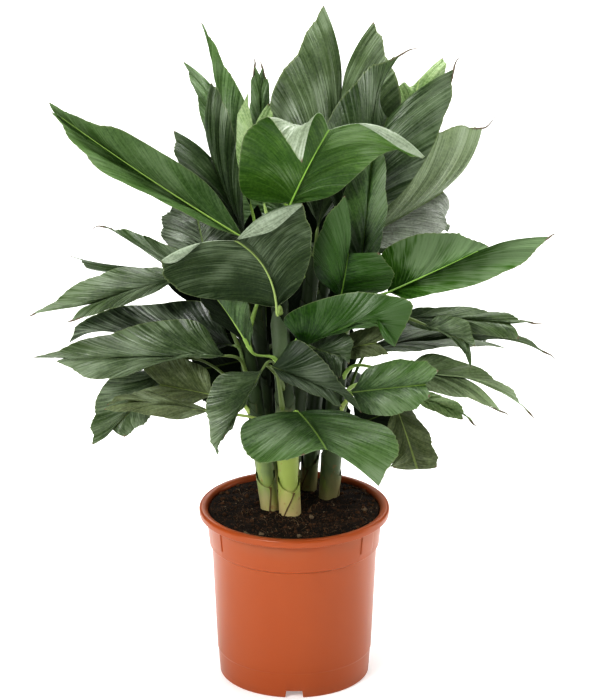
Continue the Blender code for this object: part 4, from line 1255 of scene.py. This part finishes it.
# Crown. The highest fronds, tough waxy leaves near the tops of the canes, each held by the sheath at
# the foot of its petiole. The one in front turns its underside to the light and rolls one margin under.
# Each row, here and below: look, cane, height on it, pleats a half, the blade's root, the end of its midrib,
# and the edge of its left and right half from root to tip, seen from above. All in millimetres.
CROWN_FRONDS = {
    "crest": ("glow", "front", 396, 7, (-4, -38, 505), (33, -76, 592),
        ((39, -42, 517), (87, -54, 563), (123, -92, 569)),
        ((-49, -44, 517), (-49, -60, 572), (-25, -74, 603), (8, -104, 568))),
    "summit": ("steel", "middle", 436, 7, (23, 8, 466), (46, 70, 573),
        ((-24, 52, 568), (4, 90, 621), (29, 118, 660)),
        ((102, 54, 562), (89, 92, 618), (78, 112, 645))),
    "dark_horn": ("dark", "middle", 430, 7, (47, 2, 468), (91, 22, 574),
        ((23, 10, 545), (62, 26, 611), (104, 36, 634)),
        ((108, 2, 507), (146, 18, 577), (155, 34, 620))),
    "lime_top": ("lime", "back_right", 423, 6, (102, 80, 508), (124, 108, 588),
        ((92, 84, 553), (102, 100, 581), (115, 110, 580)),
        ((132, 92, 546), (148, 112, 583), (148, 122, 606))),
    "silver_right": ("silver", "back_right", 410, 7, (59, 34, 443), (148, 96, 475),
        ((89, 56, 508), (149, 96, 538), (187, 124, 532)),
        ((94, 48, 432), (142, 84, 433), (154, 104, 457))),
    "left_horn": ("bright", "back_left", 398, 7, (-43, 36, 480), (-74, 84, 577),
        ((-81, 60, 530), (-96, 86, 577), (-109, 104, 607)),
        ((-42, 62, 558), (-69, 94, 607), (-91, 112, 645))),
    "grey_horn": ("dark", "back_left", 390, 7, (-47, 12, 453), (-81, 30, 531),
        ((-94, 22, 485), (-112, 30, 523), (-117, 36, 557)),
        ((-55, 24, 541), (-70, 36, 588), (-81, 38, 605))),
    "pale_strip": ("lime", "middle", 412, 5, (-29, -8, 495), (-40, 2, 563),
        ((-54, -6, 535), (-54, 2, 578), (-44, 6, 605)),
        ((-21, -8, 536), (-21, 0, 579), (-25, 4, 594))),
    "spear": ("bright", "middle", 443, 5, (-31, 22, 541), (-33, 28, 605),
        ((-43, 24, 571), (-41, 28, 605), (-38, 30, 625)),
        ((-23, 24, 571), (-25, 28, 602), (-31, 30, 623))),
}

make_fronds(CROWN_FRONDS)


# Left side. Long leaves on bent petioles that reach out level, and below them darker ones whose toothed tips
# hang a little. All of them clasp the left, the front or the back left cane.
LEFT_FRONDS = {
    "long_left": ("bright", "left", 340, 7, (-46, -12, 460), (-224, 2, 580),
        ((-87, 6, 514), (-158, 12, 559), (-203, 10, 575), (-237, 5, 595)),
        ((-87, -14, 479), (-176, -16, 526), (-211, -6, 556), (-234, 2, 587))),
    "silver_left": ("streaked", "back_left", 366, 7, (-86, 40, 420), (-98, 50, 476),
        ((-120, 50, 428), (-130, 56, 451), (-118, 62, 474)),
        ((-58, 46, 430), (-58, 54, 463), (-80, 58, 481))),
    "thin_left": ("dark", "back_left", 355, 7, (-88, 16, 423), (-120, 28, 415),
        ((-124, 18, 410), (-190, 66, 400), (-224, 90, 410)),
        ((-112, 20, 437), (-152, 62, 441), (-191, 90, 440))),
    "fishtail_left": ("steel", "left", 338, 7, (-110, -4, 419), (-199, -20, 397),
        ((-146, -16, 403), (-180, -26, 394), (-217, -32, 384)),
        ((-141, 4, 427), (-192, 0, 420), (-255, -16, 385))),
    "front_left": ("folded", "front", 381, 7, (-17, -58, 406), (-56, -84, 484),
        ((6, -56, 429), (16, -68, 474), (8, -84, 521)),
        ((-52, -60, 414), (-98, -74, 425), (-121, -86, 446), (-126, -94, 466))),
    "half_hidden": ("shade", "front", 328, 6, (-43, -40, 357), (-79, -58, 421),
        ((-55, -38, 372), (-80, -44, 392), (-92, -54, 424)),
        ((-41, -42, 383), (-48, -52, 413), (-67, -60, 444))),
    "dark_left": ("dusk", "left", 320, 6, (-60, 8, 344), (-178, 42, 345),
        ((-103, 6, 335), (-163, 28, 329), (-204, 42, 327)),
        ((-86, 24, 382), (-145, 46, 373), (-200, 54, 359), (-226, 50, 332))),
    "low_left": ("steel", "left", 305, 7, (-68, -22, 344), (-195, -30, 345),
        ((-117, -26, 343), (-184, -40, 326), (-233, -34, 343)),
        ((-102, -12, 378), (-181, -14, 364), (-255, -32, 345))),
    "toothed": ("steel", "left", 284, 7, (-122, 10, 321), (-180, 0, 258),
        ((-120, 6, 300), (-140, 0, 276), (-168, -4, 252)),
        ((-182, 12, 308), (-198, 8, 270), (-200, 2, 241))),
    "level_left": ("olive", "front", 254, 6, (-81, -34, 290), (-161, -44, 304),
        ((-117, -42, 285), (-151, -48, 294), (-186, -52, 299)),
        ((-107, -26, 297), (-151, -32, 310), (-184, -46, 303))),
    "olive": ("olive", "left", 275, 6, (-79, -8, 297), (-132, -10, 309),
        ((-108, -14, 290), (-137, -16, 297), (-154, -14, 303)),
        ((-89, 4, 322), (-121, 6, 331), (-150, -4, 326))),
}

make_fronds(LEFT_FRONDS)


# Front. Short broad leaves that hide the canes, among them one spread like an apron over the soil. They clasp
# the front, the middle and the right cane with the feet of their petioles, which bend forward.
FRONT_FRONDS = {
    "hanging": ("steel", "front", 285, 6, (-31, -64, 345), (-72, -94, 282),
        ((-39, -68, 328), (-50, -78, 311), (-66, -92, 287)),
        ((-74, -70, 340), (-83, -84, 309), (-75, -98, 268))),
    "front_spear": ("plain", "front", 305, 6, (-22, -58, 346), (36, -94, 337),
        ((4, -60, 374), (36, -86, 350), (66, -110, 319)),
        ((-8, -72, 335), (22, -94, 330), (46, -104, 321))),
    "folded": ("dark", "middle", 330, 5, (20, -42, 359), (47, -56, 356),
        ((38, -44, 381), (54, -52, 371), (53, -60, 349)),
        ((27, -50, 350), (37, -58, 340), (45, -62, 336))),
    "apron": ("bright", "front", 244, 7, (4, -48, 295), (31, -127, 287),
        ((56, -70, 301), (99, -100, 286), (81, -130, 249)),
        ((-50, -84, 296), (-37, -118, 272), (9, -134, 283))),
    "heart": ("deep", "middle", 375, 7, (45, -34, 408), (52, -46, 458),
        ((19, -36, 438), (27, -50, 485), (49, -60, 522)),
        ((70, -30, 407), (95, -38, 428), (82, -48, 460))),
    "heart_back": ("bright", "right", 400, 6, (64, -14, 422), (75, -26, 546),
        ((46, -12, 460), (50, -20, 514), (69, -30, 568)),
        ((84, -12, 455), (89, -20, 504), (85, -28, 562))),
    "veined_right": ("deep", "middle", 345, 7, (7, -46, 363), (74, -68, 407),
        ((-8, -46, 394), (50, -56, 420), (110, -72, 417), (97, -88, 378)),
        ((27, -54, 373), (58, -64, 387), (86, -76, 394))),
}

make_fronds(FRONT_FRONDS)


# Right side. Level and drooping leaves in tiers, the lowest of them over the pot's rim. Most hang from the
# right cane by long thin petioles, and some have dried to threads at their tips.
RIGHT_FRONDS = {
    "long_right": ("aged", "right", 380, 7, (91, -26, 411), (179, 4, 443),
        ((122, -26, 406), (206, 2, 422), (252, 30, 450)),
        ((88, -8, 449), (142, 14, 458), (191, 16, 445))),
    "level_right": ("steel", "right", 365, 7, (103, -28, 385), (211, -30, 380),
        ((128, -20, 394), (191, -18, 389), (233, -22, 378)),
        ((127, -38, 377), (181, -42, 374), (219, -42, 369))),
    "drooping": ("steel", "right", 350, 5, (127, -46, 385), (169, -58, 371),
        ((142, -46, 394), (165, -54, 391), (176, -62, 368)),
        ((138, -50, 381), (157, -58, 371), (172, -66, 348))),
    "under_right": ("steel", "right", 328, 6, (62, -20, 347), (180, 4, 349),
        ((118, 6, 360), (200, 30, 354), (250, 36, 326)),
        ((104, -34, 353), (158, -28, 356), (208, -10, 349))),
    "pale_young": ("olive", "right", 315, 5, (50, -36, 356), (80, -44, 366),
        ((56, -32, 371), (79, -38, 380), (97, -46, 378)),
        ((56, -44, 349), (76, -48, 354), (92, -52, 357))),
    "oval": ("bright", "middle", 300, 7, (56, -52, 317), (127, -78, 335),
        ((76, -50, 344), (117, -64, 354), (140, -80, 350)),
        ((70, -66, 300), (107, -80, 308), (132, -86, 326))),
    "fishtail_right": ("silver", "right", 304, 7, (102, -16, 325), (165, -22, 322),
        ((134, -6, 340), (175, -10, 329), (208, -20, 311), (232, -30, 286)),
        ((128, -24, 309), (171, -32, 303), (203, -36, 291))),
    "lime_low": ("lime", "right", 284, 5, (117, 10, 290), (164, 2, 276),
        ((135, 14, 292), (159, 8, 284), (177, -2, 265)),
        ((130, 4, 280), (149, -2, 274), (167, -4, 270))),
    "skirt": ("olive", "right", 270, 6, (99, -26, 295), (121, -46, 234),
        ((116, -20, 286), (133, -36, 263), (141, -46, 236)),
        ((92, -34, 271), (97, -44, 248), (97, -48, 236))),
}

make_fronds(RIGHT_FRONDS)


# Inside. Small upright leaves among the canes, thin, their upper sides painted nearly black: dark sheets that
# stand for the shade inside the clump and fill the gaps between the leaves in front. Most clasp the two canes
# at the back.
INNER_FRONDS = {
    "inner_left": ("shade", "back_left", 340, 5, (-32, 64, 373), (-54, 80, 429),
        ((-59, 62, 394), (-79, 70, 422), (-72, 80, 461)),
        ((-24, 62, 405), (-26, 72, 433), (-36, 82, 466))),
    "inner_mid": ("shade", "back_left", 318, 5, (-10, 78, 330), (-12, 98, 395),
        ((-50, 78, 352), (-46, 90, 385), (-30, 102, 414)),
        ((37, 78, 352), (36, 92, 388), (8, 102, 417))),
    "inner_right": ("shade", "right", 232, 5, (60, 12, 258), (92, 0, 276),
        ((61, 13, 283), (82, 10, 296), (108, 2, 298)),
        ((76, 4, 248), (96, -4, 254), (118, -4, 272))),
    "inner_low": ("shade", "back_right", 242, 5, (6, 84, 262), (4, 104, 315),
        ((-46, 67, 288), (-50, 74, 316), (-26, 98, 340)),
        ((48, 84, 274), (65, 94, 311), (51, 104, 338))),
    "shade_high": ("shade", "back_left", 306, 5, (-61, 55, 341), (-104, 66, 370),
        ((-78, 58, 321), (-106, 62, 334), (-122, 64, 350)),
        ((-74, 64, 382), (-100, 70, 396), (-127, 70, 388))),
    "shade_low": ("shade", "back_left", 268, 5, (-49, 42, 316), (-97, 42, 305),
        ((-58, 36, 288), (-82, 34, 276), (-102, 36, 280)),
        ((-58, 50, 338), (-82, 50, 340), (-104, 46, 326))),
    "young_back": ("shade", "back_right", 196, 5, (10, 74, 220), (10, 92, 252),
        ((-30, 78, 226), (-38, 90, 246), (-20, 100, 270)),
        ((46, 76, 222), (54, 86, 242), (40, 98, 266))),
    "inner_high": ("shade", "back_right", 381, 5, (6, 40, 420), (35, 50, 481),
        ((6, 36, 449), (6, 40, 474), (16, 50, 512)),
        ((55, 40, 443), (65, 46, 482), (57, 52, 516))),
}

make_fronds(INNER_FRONDS)


# Back. Broad leaves that arch out evenly behind the canes in four tiers, as tough and waxy as the ones in
# front, each held by the sheath at the foot of its petiole.
REAR_FRONDS = {
    "rear_top": ("bright", "back_right", 384, 6, (5, 78, 430), (15, 150, 496),
        ((-52, 96, 440), (-45, 140, 482), (-15, 190, 495)),
        ((64, 98, 442), (62, 145, 482), (48, 192, 492))),
    "rear_left": ("dark", "back_left", 330, 6, (-58, 88, 392), (-88, 162, 408),
        ((-102, 110, 402), (-128, 162, 396), (-134, 198, 372)),
        ((-38, 148, 418), (-54, 196, 410), (-78, 226, 388))),
    "rear_right": ("dark", "back_right", 350, 6, (60, 88, 400), (102, 162, 427),
        ((45, 148, 425), (70, 196, 422), (94, 226, 404)),
        ((125, 118, 420), (152, 162, 421), (158, 198, 399))),
    "rear_low_left": ("dark", "back_left", 262, 6, (-70, 80, 330), (-120, 145, 325),
        ((-130, 95, 335), (-165, 140, 320), (-175, 165, 296)),
        ((-65, 140, 325), (-100, 180, 315), (-120, 200, 296))),
    "rear_low": ("dark", "back_right", 268, 6, (25, 98, 330), (35, 185, 325),
        ((-26, 135, 335), (-14, 190, 318), (6, 232, 290)),
        ((72, 138, 335), (76, 188, 318), (68, 228, 287))),
    "rear_low_right": ("dark", "right", 258, 6, (88, 70, 330), (140, 120, 328),
        ((92, 122, 332), (125, 165, 318), (145, 185, 300)),
        ((150, 72, 335), (185, 110, 322), (196, 138, 300))),
    "rear_hem_left": ("bright", "back_left", 213, 5, (-40, 88, 290), (-58, 150, 284),
        ((-90, 110, 292), (-98, 150, 276), (-96, 180, 254)),
        ((-12, 125, 290), (-25, 165, 276), (-45, 190, 254))),
    "rear_hem_right": ("dark", "back_right", 216, 5, (58, 82, 268), (80, 142, 262),
        ((36, 122, 268), (54, 165, 255), (72, 186, 232)),
        ((102, 100, 272), (118, 138, 258), (118, 166, 236))),
}

make_fronds(REAR_FRONDS)
